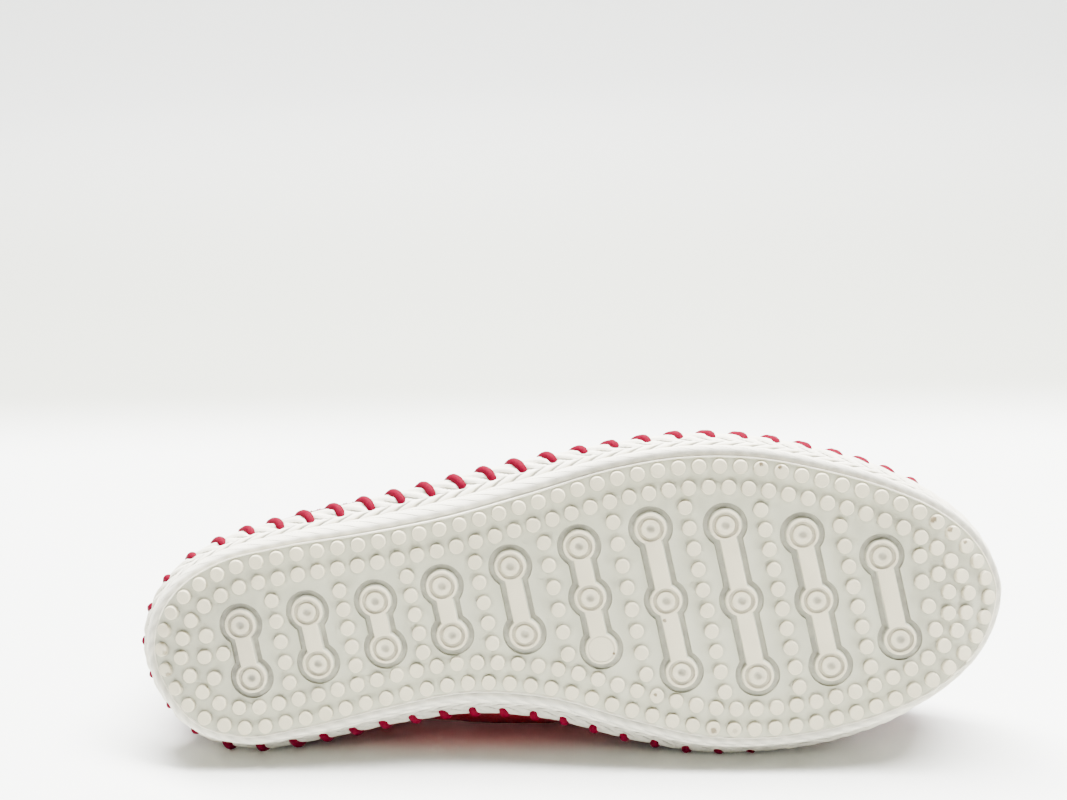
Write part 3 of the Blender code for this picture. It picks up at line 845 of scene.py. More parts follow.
class Finish:
    """A procedural material under construction, patterned on Object coordinates in millimetres."""

    def __init__(self, name):
        self.material = bpy.data.materials.new(name)
        self.material.use_nodes = True
        self.tree = self.material.node_tree
        self.shader = self.tree.nodes["Principled BSDF"]
        spot = self.node("ShaderNodeTexCoord").outputs["Object"]
        scale = self.node("ShaderNodeVectorMath", {0: spot, "Scale": 1 / MM}, operation="SCALE")
        self.place = scale.outputs["Vector"]

    def node(self, kind, inputs=(), **settings):
        """A node of this material."""
        return new_node(self.tree, kind, inputs, **settings)

    def noise(self, size, detail=2.0, roughness=0.5):
        """Cloudy values with features of about this size in millimetres."""
        inputs = {"Vector": self.place, "Scale": 1 / size, "Detail": detail, "Roughness": roughness}
        return self.node("ShaderNodeTexNoise", inputs).outputs["Fac"]

    def cells(self, size):
        """Distances to the edges in a pattern of cells of about this size in millimetres."""
        inputs = {"Vector": self.place, "Scale": 1 / size}
        return self.node("ShaderNodeTexVoronoi", inputs, feature="DISTANCE_TO_EDGE").outputs["Distance"]

    def span(self, value, low, high, to_low=0.0, to_high=1.0):
        """A value carried from one range to another, and kept inside it."""
        made = self.node(
            "ShaderNodeMapRange",
            {"Value": value, "From Min": low, "From Max": high, "To Min": to_low, "To Max": to_high},
            interpolation_type="SMOOTHSTEP",
        )
        return made.outputs["Result"]

    def math(self, operation, first, second):
        """One sum of two values."""
        return self.node("ShaderNodeMath", {0: first, 1: second}, operation=operation).outputs["Value"]

    def blend(self, share, first, second):
        """A colour between two others."""
        made = self.node("ShaderNodeMix", data_type="RGBA")
        for socket, value in zip(MIX_COLOUR_SOCKETS, (share, first, second)):
            feed(self.tree, made.inputs[socket], value)
        return made.outputs[MIX_COLOUR_RESULT]

    def relief(self, height, depth, under=None):
        """A bump of this depth in millimetres, over another bump if there is one."""
        made = self.node("ShaderNodeBump", {"Height": height, "Distance": depth * MM})
        if under is not None:
            feed(self.tree, made.inputs["Normal"], under)
        return made.outputs["Normal"]

    def so_far(self, key):
        """What is linked to one of the shader's sockets by now."""
        return self.shader.inputs[SHADER_SOCKETS[key]].links[0].from_socket

    def shade(self, **inputs):
        """Sets the shader's sockets, each to a value or to another node's output."""
        for key, value in inputs.items():
            feed(self.tree, self.shader.inputs[SHADER_SOCKETS[key]], value)
        return self.material


def scaled(colour, share):
    """A colour made darker or lighter."""
    return tuple(min(1.0, c * share) for c in colour)


def main_settings():
    """The sizes and colours set in the scene."""
    return bpy.context.scene.slip_on


def rubber_finish(name, colour, pores=0.05):
    """Moulded rubber: fine pores, faint clouds, a matt skin, and dust and painted shade where the piece is
    marked for it.
    """
    finish = Finish(name)
    colour = tuple(colour)
    clouds = finish.span(finish.noise(14.0, 3.0), 0.35, 0.65)
    tone = finish.blend(clouds, scaled(colour, 0.96), scaled(colour, 1.02))
    specks = finish.span(finish.noise(0.55, 2.0), 0.58, 0.75)
    tone = finish.blend(finish.math("MULTIPLY", specks, 0.22), tone, scaled(colour, 0.78))
    # The stored dust and painted shade darkens the rubber towards the dust colour.
    dust_and_shade = finish.node("ShaderNodeAttribute", attribute_name="dust_and_shade").outputs["Fac"]
    patchy = finish.span(finish.noise(2.2, 2.0), 0.3, 0.7, 0.75, 1.0)
    dust_and_shade = finish.math("MULTIPLY", dust_and_shade, patchy)
    tone = finish.blend(dust_and_shade, tone, tuple(main_settings().finish.dust_and_shade))
    bumps = finish.relief(finish.noise(0.45, 3.0, 0.6), pores)
    bumps = finish.relief(finish.noise(3.5, 2.0), 0.06, under=bumps)
    roughness = finish.span(finish.noise(6.0, 2.0), 0.3, 0.7, 0.5, 0.62)
    finish.shade(base_color=tone, roughness=roughness, normal=bumps, specular=0.3)
    return finish


def braided_finish(name, colour):
    """Rubber of the sole's side: fine creases between the strands of its rope and braid, painted dark as
    dust and shade, and painted shade on the roll.
    """
    finish = rubber_finish(name, colour, 0.03)
    weave = finish.node("ShaderNodeUVMap", uv_map="weave").outputs["UV"]
    row = finish.node("ShaderNodeSeparateXYZ", {"Vector": weave}).outputs["Y"]
    shaded_creases = 0.0
    for lean, middle, shift, width, strength, begins, ends in STRANDS.values():
        phase = finish.node("ShaderNodeVectorMath", {0: weave, 1: (1, lean, 0)}, operation="DOT_PRODUCT")
        phase = finish.math("ADD", phase.outputs["Value"], shift - lean * middle)
        line = finish.span(finish.math("PINGPONG", phase, 0.5), 0, width, strength, 0)
        line = finish.math("MULTIPLY", line, finish.span(row, *begins))
        line = finish.math("MULTIPLY", line, finish.span(row, *ends, 1, 0))
        shaded_creases = finish.math("MAXIMUM", line, shaded_creases)
    # The creases are painted dark with the dust colour: dust and painted shade.
    tone = finish.blend(shaded_creases, finish.so_far("base_color"), tuple(main_settings().finish.dust_and_shade))
    ridges = finish.math("SUBTRACT", 1.0, shaded_creases)
    bumps = finish.relief(ridges, 0.4, under=finish.so_far("normal"))
    return finish.shade(base_color=tone, normal=bumps)


def soiled(finish, soil):
    """Adds the few spots of dirt to a rubber finish."""
    tone = finish.so_far("base_color")
    ragged = finish.math("MULTIPLY", finish.noise(0.5, 3.0), 0.9)
    for x, y, radius, strength in SOIL_SPOTS:
        spot = laid([(x, y, float(tread_height(x)))])[0] / MM
        away = finish.node("ShaderNodeVectorMath", {0: finish.place, 1: spot}, operation="DISTANCE")
        away = finish.math("ADD", away.outputs["Value"], ragged)
        share = finish.span(away, radius * 0.5 + 0.45, radius + 0.45, strength, 0.0)
        tone = finish.blend(share, tone, tuple(soil))
    return finish.shade(base_color=tone)


def leather_finish(name, colour, grain=0.9, depth=0.12, gloss=0.38):
    """Smooth leather: small rounded grain, fine wrinkles and a satin coat."""
    finish = Finish(name)
    colour = tuple(colour)
    clouds = finish.span(finish.noise(22.0, 3.0), 0.35, 0.65)
    tone = finish.blend(clouds, scaled(colour, 0.86), scaled(colour, 1.06))
    pits = finish.span(finish.cells(grain), 0.0, 0.18)
    tone = finish.blend(pits, scaled(colour, 0.72), tone)
    bumps = finish.relief(pits, depth)
    bumps = finish.relief(finish.noise(2.6, 4.0, 0.55), depth * 1.4, under=bumps)
    roughness = finish.span(finish.noise(9.0, 3.0), 0.3, 0.7, gloss, gloss + 0.12)
    finish.shade(base_color=tone, roughness=roughness, normal=bumps)
    return finish.shade(specular=0.12, coat_weight=0.03, coat_roughness=0.3)


def cord_finish(name, colour):
    """Round waxed lace: fine lengthwise fibres and a soft gloss."""
    finish = Finish(name)
    colour = tuple(colour)
    fibres = finish.noise(0.35, 4.0, 0.6)
    tone = finish.blend(finish.span(fibres, 0.3, 0.7), scaled(colour, 0.72), scaled(colour, 1.12))
    bumps = finish.relief(fibres, 0.08)
    return finish.shade(base_color=tone, roughness=0.65, normal=bumps, specular=0.04)


def fixed_tree(name, **inputs):
    """A Geometry Nodes tree with named inputs of these kinds, and its group input and output nodes."""
    tree = bpy.data.node_groups.new(name, "GeometryNodeTree")
    tree.interface.new_socket("Geometry", in_out="INPUT", socket_type="NodeSocketGeometry")
    for label, kind in inputs.items():
        tree.interface.new_socket(label, in_out="INPUT", socket_type="NodeSocket" + kind)
    tree.interface.new_socket("Geometry", in_out="OUTPUT", socket_type="NodeSocketGeometry")
    return tree, tree.nodes.new("NodeGroupInput"), tree.nodes.new("NodeGroupOutput")


def close_tree(tree, geometry, material, group_out):
    """Ends a tree: instances made real, faces smooth, material set."""
    for kind in ("GeometryNodeRealizeInstances", "GeometryNodeSetShadeSmooth", "GeometryNodeSetMaterial"):
        made = new_node(tree, kind, {"Geometry": geometry})
        geometry = made.outputs["Geometry"]
    feed(tree, made.inputs["Material"], material)
    feed(tree, group_out.inputs["Geometry"], geometry)


RANDOM_LOWEST = 2  # a random value node's sockets for plain numbers, which go by number
RANDOM_VALUE = 1
CORD_TREE = "cords_on_paths"


def stud_tree():
    """Tree that stands one stud on every point, along the point's own direction."""
    tree, group_in, group_out = fixed_tree(
        "studs_on_points",
        Stud="Object", Radius="Float", Height="Float", Spread="Float", Seed="Int", Material="Material",
    )
    given = group_in.outputs
    stud = new_node(tree, "GeometryNodeObjectInfo", {"Object": given["Stud"]})
    direction = new_node(
        tree, "GeometryNodeInputNamedAttribute", {"Name": "direction"}, data_type="FLOAT_VECTOR"
    )
    upright = {"Vector": direction.outputs["Attribute"]}
    align = new_node(tree, "FunctionNodeAlignRotationToVector", upright, axis="Z")
    lowest = new_node(tree, "ShaderNodeMath", {0: 1.0, 1: given["Spread"]}, operation="SUBTRACT")
    draw = {RANDOM_LOWEST: lowest.outputs["Value"], "Seed": given["Seed"]}
    chance = new_node(tree, "FunctionNodeRandomValue", draw, data_type="FLOAT")
    factors = {0: chance.outputs[RANDOM_VALUE], 1: given["Radius"]}
    radius = new_node(tree, "ShaderNodeMath", factors, operation="MULTIPLY").outputs["Value"]
    size = new_node(tree, "ShaderNodeCombineXYZ", {"X": radius, "Y": radius, "Z": given["Height"]})
    spread = new_node(
        tree,
        "GeometryNodeInstanceOnPoints",
        {
            "Points": given["Geometry"],
            "Instance": stud.outputs["Geometry"],
            "Rotation": align.outputs["Rotation"],
            "Scale": size.outputs["Vector"],
        },
    )
    close_tree(tree, spread.outputs["Instances"], given["Material"], group_out)
    return tree


def cord_tree():
    """Tree that turns chains of edges into round cords with closed ends, made once for both seams."""
    if CORD_TREE in bpy.data.node_groups:
        return bpy.data.node_groups[CORD_TREE]
    tree, group_in, group_out = fixed_tree(
        CORD_TREE, Radius="Float", Sides="Int", Points="Int", Material="Material"
    )
    given = group_in.outputs
    path = new_node(tree, "GeometryNodeMeshToCurve", {"Mesh": given["Geometry"]}).outputs["Curve"]
    path = new_node(tree, "GeometryNodeCurveSplineType", {"Curve": path}, spline_type="CATMULL_ROM")
    even = {"Curve": path.outputs["Curve"], "Count": given["Points"]}
    path = new_node(tree, "GeometryNodeResampleCurve", even).outputs["Curve"]
    ring = {"Resolution": given["Sides"], "Radius": given["Radius"]}
    ring = new_node(tree, "GeometryNodeCurvePrimitiveCircle", ring).outputs["Curve"]
    tube = {"Curve": path, "Profile Curve": ring, "Fill Caps": True}
    tube = new_node(tree, "GeometryNodeCurveToMesh", tube)
    close_tree(tree, tube.outputs["Mesh"], given["Material"], group_out)
    return tree


def grown(name, points, edges, tree, inputs, directions=None):
    """A plain mesh piece grown by a tree from points and edges in the shoe's frame."""
    mesh = bpy.data.meshes.new(name)
    mesh.from_pydata(laid(points).tolist(), edges, [])
    if directions is not None:
        attribute = mesh.attributes.new("direction", "FLOAT_VECTOR", "POINT")
        attribute.data.foreach_set("vector", laid_directions(directions).ravel())
    piece = placed(name, mesh)
    modifier = piece.modifiers.new(tree.name, "NODES")
    modifier.node_group = tree
    for item in tree.interface.items_tree:
        if item.in_out == "INPUT" and item.name in inputs:
            modifier[item.identifier] = inputs[item.name]
    depsgraph = bpy.context.evaluated_depsgraph_get()
    made = bpy.data.meshes.new_from_object(piece.evaluated_get(depsgraph), depsgraph=depsgraph)
    piece.modifiers.clear()
    piece.data = made
    bpy.data.meshes.remove(mesh)
    made.name = name
    return piece


class TreadBuilder(bpy.types.Operator):
    """Makes the underside between the lugs, and the links with their moats and rings"""

    bl_idname = "slip_on.tread"
    bl_label = "Tread and links"

    def execute(self, context):
        settings = main_settings()
        sizes = settings.tread
        loops = self.loops(sizes)
        flat, heights, dust_and_shade, polygons = [], [], [], []
        for loop, height, loop_dust_and_shade in loops:
            polygons.append(list(range(len(flat), len(flat) + len(loop))))
            flat += [Vector(p) for p in loop]
            heights += [height] * len(loop)
            dust_and_shade += [loop_dust_and_shade] * len(loop)
        for point in self.fill_points():
            flat.append(Vector(point))
            heights.append(0.0)
            dust_and_shade.append(0.0)
        places, _, faces, origins, _, _ = delaunay_2d_cdt(flat, [], polygons, 1, 1e-5)
        over = np.array([heights[origin[0]] if origin else 0.0 for origin in origins])
        places = np.array(places)
        points = np.column_stack([places, base_height(places[:, 0], sizes) - over])
        finish = settings.finish
        materials = [
            soiled(rubber_finish("tread_rubber", finish.rubber), finish.soil),
            soiled(rubber_finish("lug_rubber", finish.lug_rubber, 0.03), finish.soil),
        ]
        faces = [tuple(reversed(face)) for face in faces]
        piece = new_piece("tread_with_links", points, faces, materials, TREAD_SHARP)
        (heel, heel_end), (toe, toe_start) = HEEL_DARKENING, TOE_DARKENING
        darkened = heel * (1 - smooth(*heel_end, places[:, 0])) + toe * smooth(*toe_start, places[:, 0])
        paint_dust_and_shade(piece, darkened + [dust_and_shade[origin[0]] if origin else 0.0 for origin in origins])
        lug = sizes.lug_height / MM
        for face in piece.data.polygons:
            if over[list(face.vertices)].min() > lug * LUG_PAINT:
                face.material_index = 1
        settle(piece, "sole")
        return {"FINISHED"}

    @staticmethod
    def loops(sizes):
        """Closed loops of the tread, each with its height over the base and its dust and painted shade."""
        lug = sizes.lug_height / MM
        loops = [(outline(TREAD_STEPS)["place"], 0.0, 0.0)]
        radius = sizes.stud_radius / MM
        around = circle(STUD_SIDES) * radius
        moats = [link_loop(row, MOAT_STEPS[0][0] * sizes.moat_width / MM) for row in LINKS]
        moats = np.vstack([resampled(looped(loop), np.linspace(0, 1, MOAT_SAMPLES)) for loop in moats])
        foot, foot_dust_and_shade = STUD_FOOT
        fillers, edge_studs = len(FILLER_STUDS), EDGE_ROWS[0][1]
        for number, place in enumerate(stud_places()):
            halo = EDGE_HALO if fillers <= number < fillers + edge_studs else STUD_HALO
            room = np.linalg.norm(moats - place, axis=1).min()
            halo = min(halo, HALO_ROOM * room / radius)
            loops += [(place + around * foot, 0.0, foot_dust_and_shade), (place + around * halo, 0.0, 0.0)]
        ring = circle(DISC_STEPS)
        for row in LINKS:
            for grow, height, dust_and_shade in MOAT_STEPS:
                grow, height = grow * sizes.moat_width / MM, height * sizes.moat_depth / MM
                loops.append((link_loop(row, grow), height, dust_and_shade))
            loops += [(link_loop(row, grow), height * lug, dust_and_shade) for grow, height, dust_and_shade in LUG_STEPS]
            for number, disc in enumerate(slanted_row(*row)):
                rings = PLAIN_RINGS if (row[0], number) == PLAIN_DISC else DISC_RINGS
                for radius, sunk, dust_and_shade in rings:
                    loops.append((np.array(disc) + ring * radius, lug * (1 - sunk), dust_and_shade))
        return loops

    @staticmethod
    def fill_points():
        """Places between the links, so that the tread follows its roll and arch."""
        edge = outline(TREAD_STEPS)["place"]
        links = np.vstack([slanted_row(*row[:3], LINE_PLACES) for row in LINKS])
        for x in np.arange(*FILL_STATIONS):
            for y in np.arange(*FILL_OFFSETS):
                offsets = edge - (x, y)
                nearest = np.argmin((offsets**2).sum(1))
                along = edge[(nearest + 1) % len(edge)] - edge[nearest - 1]
                inside = along[0] * offsets[nearest][1] - along[1] * offsets[nearest][0]
                clear = np.linalg.norm(links - (x, y), axis=1).min() > FILL_TO_LINK
                if inside < 0 and clear and np.linalg.norm(offsets[nearest]) > FILL_TO_EDGE:
                    yield x, y


class StudBuilder(bpy.types.Operator):
    """Makes the round studs of the tread"""

    bl_idname = "slip_on.studs"
    bl_label = "Studs"

    def execute(self, context):
        settings = main_settings()
        sizes = settings.tread
        places = stud_places()
        step = 0.5
        slope = (tread_height(places[:, 0] + step) - tread_height(places[:, 0] - step)) / (2 * step)
        points = np.column_stack([places, base_height(places[:, 0], sizes)])
        directions = np.column_stack([slope, 0 * slope, -np.ones_like(slope)])
        unit = self.unit_stud()
        finish = settings.finish
        material = soiled(rubber_finish("stud_rubber", finish.lug_rubber, 0.03), finish.soil)
        inputs = {
            "Stud": unit,
            "Radius": sizes.stud_radius,
            "Height": sizes.lug_height,
            "Spread": sizes.stud_spread,
            "Seed": STUD_SEED,
            "Material": material,
        }
        piece = grown("studs", points, [], stud_tree(), inputs, directions)
        bpy.data.objects.remove(unit)
        piece.data.set_sharp_from_angle(angle=math.radians(STUD_SHARP))
        settle(piece, "sole")
        return {"FINISHED"}

    @staticmethod
    def unit_stud():
        """A stud of radius and height 1, with a rounded edge and an open foot."""
        rings = []
        for radius, height, _ in STUD_PROFILE:
            rings += [(*place, height) for place in radius * circle(STUD_SIDES)]
        cap = tuple(range(len(rings) - STUD_SIDES, len(rings)))
        mesh = bpy.data.meshes.new("unit_stud")
        mesh.from_pydata(rings, [], bands(len(STUD_PROFILE), STUD_SIDES) + [cap])
        stud = placed("unit_stud", mesh)
        paint_dust_and_shade(stud, np.repeat([dust_and_shade for _, _, dust_and_shade in STUD_PROFILE], STUD_SIDES))
        return stud


def wall_rows(edge, sizes):
    """Rows of the wall's section: offset past the tread and height, for each point of the outline."""
    flare = edge["flare"]
    foot = base_height(edge["place"][:, 0], sizes)
    tuck_offset, tuck_height = WALL_TUCK
    rows = [(0 * flare + tuck_offset, foot + tuck_height), (0 * flare, foot)]
    rows += [(flare * reach, foot + rise * (edge["rim"] - foot)) for reach, rise in WALL_PROFILE]
    rows.append((flare * CUP_TOP_REACH - RIM_WIDTH, edge["rim"]))
    rows.append((flare * CUP_FOOT_REACH - RIM_WIDTH, edge["floor"]))
    return np.array(rows).transpose(0, 2, 1)


def wall_section(edge, places, sizes):
    """Offsets and heights of the wall at fractional row numbers, and the directions off the surface."""
    rows = wall_rows(edge, sizes)
    section = between(rows, places)
    step = 0.02
    low = np.clip(places - step, 0, len(rows) - 1)
    high = np.clip(places + step, 0, len(rows) - 1)
    slope = between(rows, high) - between(rows, low)
    normal = np.stack([slope[..., 1], -slope[..., 0]], -1)
    return section, normal / np.linalg.norm(normal, axis=-1, keepdims=True)


def wall_run(edge):
    """Distance round the braid's centre line at each point of the outline, and the whole way round."""
    run = run_of(looped(beside(edge, edge["flare"] * BRAID_LINE)))
    return run[:-1], run[-1]


def rounded(value, middle, reach):
    """Height of a half round of radius 1, which is 0 past its reach."""
    return np.sqrt(np.clip(1 - ((value - middle) / reach) ** 2, 0, None))


def weave_run(run, whole, sizes):
    """Distance round the braid in its pitches, of which a whole number fits round the shoe."""
    return run / whole * round(whole / (sizes.braid_pitch / MM))


def strand(name, phase, row):
    """Height of a row of strands between 0 at the creases and 1."""
    lean, middle, shift = STRANDS[name][:3]
    return np.abs(np.sin(math.pi * (phase + lean * (row - middle) + shift)))


def stitch_number(share, sizes):
    """How many rim stitches are passed at a share of the way round."""
    passed, way = np.array(STITCH_SPREAD).T
    return np.interp(share, way, passed) * sizes.count - sizes.shift


def stitches(sizes, whole):
    """For each rim stitch: where it enters the wall, how much of it shows, its hole's row and its lean."""
    share = np.interp((np.arange(sizes.count) + sizes.shift) / sizes.count, *np.array(STITCH_SPREAD).T)
    shown = np.interp(share, *np.array(STITCH_SHOW).T)
    hole = BRAID_ROW + HOLE_RISE * (1 - shown)
    kept = LEAST_LEAN + (1 - LEAST_LEAN) * shown
    lean = sizes.lean / MM * kept * np.where(share > 0.5, INNER_LEAN, 1)
    return np.column_stack([share * whole, shown, hole, lean])


def leaned(way):
    """Share of its lean that a stitch has, at a share of its way from the hole."""
    return np.clip(way / STITCH_TURN, 0, 1) ** STITCH_CURVE


class WallBuilder(bpy.types.Operator):
    """Makes the sole's moulded side: lip, rope roll, braid, rim and cup"""

    bl_idname = "slip_on.wall"
    bl_label = "Braided wall"

    def execute(self, context):
        settings = main_settings()
        edge = outline(WALL_STEPS)
        places = row_places(WALL_RINGS)
        section, normal = wall_section(edge, places, settings.tread)
        run, whole = wall_run(edge)
        relief, dust_and_shade = self.relief(run, whole, places, settings)
        section = section + normal * relief[..., None]
        rings = [ring_at(edge, *row.T) for row in section]
        count = len(edge["place"])
        faces = bands(len(rings), count) + ladder((len(rings) - 1) * count, WALL_STEPS)
        material = braided_finish("wall_rubber", settings.finish.wall_rubber)
        piece = new_piece("braided_wall", np.vstack(rings), faces, [material])
        paint_dust_and_shade(piece, dust_and_shade)
        self.unroll(piece, weave_run(np.append(run, whole), whole, settings.wall), places)
        on_floor(piece)
        settle(piece, "sole")
        return {"FINISHED"}

    @staticmethod
    def unroll(piece, phase, places):
        """Gives the wall its own map: distance round the braid in pitches, and row number."""
        left, right = phase[:-1], phase[1:]
        around = np.stack([left, right, right, left], 1)
        strips = [
            np.stack([around, np.broadcast_to([low, low, high, high], around.shape)], 2)
            for low, high in zip(places, places[1:])
        ]
        corners = np.zeros((len(piece.data.loops), 2), np.float32)
        corners[:, 1] = CUP_ROW
        strips = np.array(strips).reshape(-1, 2)
        corners[: len(strips)] = strips
        piece.data.uv_layers.new(name="weave").data.foreach_set("uv", corners.ravel())

    @staticmethod
    def relief(run, whole, places, settings):
        """Height and dust and painted shade of the moulded pattern, for each row and point of the outline.
        """
        sizes = settings.wall
        row = places[:, None]
        phase = weave_run(run, whole, sizes)[None, :]
        inner_side = within(run / whole, *INNER_SIDE)
        outer_ball = within(run / whole, *OUTER_BALL)
        lip = sizes.lip_relief / MM * (hump(row, *LIP) - LIP_GROOVE_DEPTH * hump(row, *LIP_GROOVE))
        rope = strand("rope", phase, row) ** ROPE_FULLNESS + ROPE_BED
        rope = sizes.rope_relief / MM * within(row, *ROPE_ROWS) * rope
        roll = (ROLL_ELSEWHERE + (1 - ROLL_ELSEWHERE) * outer_ball) * (1 - inner_side)
        roll = sizes.roll_relief / MM * within(row, *ROLL_ROWS) * roll
        lower, upper = (
            rounded(row, *shape) * strand(name, phase, row) ** BRAID_FULLNESS
            for name, shape in BRAID_ROUNDS.items()
        )
        braid = sizes.braid_relief / MM * (np.maximum(lower, upper) - BRAID_BED)
        braid = braid * within(row, *BRAID_ROWS)
        # Dust and painted shade along the side's grooves.
        dust_and_shade = sum(strength * hump(row, *line) for strength, *line in DUST_AND_SHADE_LINES)
        # Painted shade on the roll's lower half, strongest at the outer ball and none on the inner side.
        strength, *line = PAINTED_ROLL_SHADE
        kept = ROLL_SHADE_ELSEWHERE + (1 - ROLL_SHADE_ELSEWHERE) * outer_ball
        dust_and_shade = dust_and_shade + strength * hump(row, *line) * kept * (1 - inner_side)
        # Painted shade over the inner side, which faces the floor, with painted lines of shade along its
        # ribs.
        shade_below, gain = INNER_SHADE
        painted_inner_shade = (shade_below + gain * smooth(*INNER_GAIN_ROWS, row)) * (1 - smooth(*INNER_END_ROWS, row))
        strength, drift, apart = INNER_SHADE_LINES
        shade_lines = strength * np.cos(2 * math.pi * (row - drift * phase) / apart)
        dust_and_shade = dust_and_shade + inner_side * (painted_inner_shade + shade_lines * within(row, *INNER_LINE_ROWS))
        dents = np.zeros((len(places), len(run)))
        hole_width, hole_rows = HOLE_SIZE
        clear_width, clear_rows = HOLE_CLEARING
        for place, _, hole, lean in stitches(settings.stitch, whole):
            way = (row - hole) / (STITCH_END - hole)
            off = np.abs(run[None, :] - place + lean * leaned(way))
            off = np.minimum(off, np.abs(whole - off))
            bed = hump(off, 0, DENT_WIDTH) * within(way, *DENT_WAY)
            dents -= DENT_DEPTH * (bed + hump(off, 0, hole_width) * hump(row, hole, hole_rows))
            braid = braid * (1 - hump(off, 0, clear_width) * hump(row, hole, clear_rows))
        return lip + roll + rope + braid + dents, dust_and_shade


class StitchBuilder(bpy.types.Operator):
    """Makes the cord stitches that hold the upper to the rim"""

    bl_idname = "slip_on.stitches"
    bl_label = "Rim stitches"

    def execute(self, context):
        settings = main_settings()
        sizes = settings.stitch
        edge = outline(WALL_STEPS)
        run, whole = wall_run(edge)
        radius = sizes.width / MM / 2
        way, lift = np.array(STITCH_PATH).T
        points, edges = [], []
        for place, shown, hole, lean in stitches(sizes, whole):
            rows = hole + way * (STITCH_END - hole)
            section, normal = wall_section(edge, rows, settings.tread)
            sunk = STITCH_SINK * (1 - shown) * (1 - smooth(*STITCH_SINK_END, rows))
            section = section + normal * ((lift - sunk) * radius)[:, None, None]
            start = len(points)
            for k, share in enumerate(leaned(way)):
                points.append(self.on_ring(edge, section[k], run, whole, (place - lean * share) % whole))
            edges += chain(start, len(rows))
        inputs = {
            "Radius": sizes.width / 2,
            "Sides": STITCH_SIDES,
            "Points": STITCH_POINTS,
            "Material": cord_finish("red_cord", settings.finish.cord),
        }
        piece = grown("rim_stitches", points, edges, cord_tree(), inputs)
        on_floor(piece)
        settle(piece, "upper", replaced=False)
        return {"FINISHED"}

    @staticmethod
    def on_ring(edge, ring, run, whole, at):
        """One point of a ring of the wall, at a distance round the braid."""
        around = np.append(run, whole)
        return tuple(np.interp(at, around, column) for column in looped(ring_at(edge, *ring.T)).T)


def top_points(edge):
    """Where each rib of the upper ends: on the topline, or on the ridge in front of the throat."""
    line = traced(TOP_LINE, closed=False)
    stations = edge["place"][:, 0]
    stations = (stations + np.roll(stations[::-1], 1)) / 2
    share = (stations - stations.min()) / (stations.max() - stations.min())
    grid = np.linspace(TOP_BACK, TOP_FRONT, TOP_SAMPLES)
    place, half_width, strength = THROAT_GATHER
    density = np.cumsum(1 + strength * hump(grid, place, half_width))
    x = np.interp(share, (density - density[0]) / (density[-1] - density[0]), grid)
    y = np.interp(x, line[:, 0], line[:, 1])
    z = np.interp(x, line[:, 0], line[:, 2])
    across = 2 * (x - TOP_BACK) / (THROAT - TOP_BACK) - 1
    opening = np.clip(1 - np.abs(across) ** COLLAR_POWER, 0, None) ** (1 / COLLAR_POWER)
    side = np.where(np.arange(len(x)) <= len(x) // 2, -1.0, 1.0)
    slope = np.interp(x, line[:-1, 0], np.diff(line[:, 2]) / np.diff(line[:, 0]))
    return np.column_stack([x, y + side * COLLAR_HALF_WIDTH * opening, z]), np.where(x > THROAT, slope, 0)


def upper_rings(edge):
    """Rings of the upper's outer face, from the cup's floor to the topline and ridge."""
    tops, slopes = top_points(edge)
    closing = smooth(ARCHING_FROM, ARCHING_TO, tops[:, 0])
    arching = COLLAR_ARCHING + (1 - COLLAR_ARCHING) * closing
    in_cup = edge["flare"] * CUP_FOOT_REACH - RIM_WIDTH - GAP
    at_rim = edge["flare"] * CUP_TOP_REACH - RIM_WIDTH - GAP
    lift_rise, lift_swell = BELLY_LIFT
    rise = BELLY_RISE + (TOE_BELLY_RISE - BELLY_RISE) * smooth(*TOE_BOX, edge["place"][:, 0])
    low = [
        (in_cup, edge["floor"] + GAP),
        (at_rim, edge["rim"]),
        (at_rim + lift_swell * (edge["belly"] - at_rim), edge["rim"] + lift_rise * rise),
        (edge["belly"], edge["rim"] + rise),
    ]
    rings = [ring_at(edge, offset, height) for offset, height in low]
    belly = rings[-1]
    for step in range(1, UPPER_RISE_STEPS + 1):
        share = step / UPPER_RISE_STEPS
        inward = (1 - arching) * share + arching * (1 - math.cos(share * math.pi / 2))
        upward = (1 - arching) * share + arching * math.sin(share * math.pi / 2)
        ring = belly + (tops - belly) * np.column_stack([inward, inward, upward])
        ring[:, 2] += slopes * (ring[:, 0] - tops[:, 0]) * share**2
        rings.append(ring)
    return np.array(rings)


def upper_grid(edge):
    """Fine rings of the upper's outer face, before its folds and creases."""
    return between(upper_rings(edge), row_places(UPPER_RINGS))


def topline_distance(grid):
    """Distance of each point of the upper from the topline."""
    top = grid[-1]
    flat = grid.reshape(-1, 3)
    nearest = np.full(len(flat), np.inf)
    for point in top[top[:, 0] <= THROAT]:
        nearest = np.minimum(nearest, ((flat - point) ** 2).sum(1))
    return np.sqrt(nearest).reshape(grid.shape[:2])


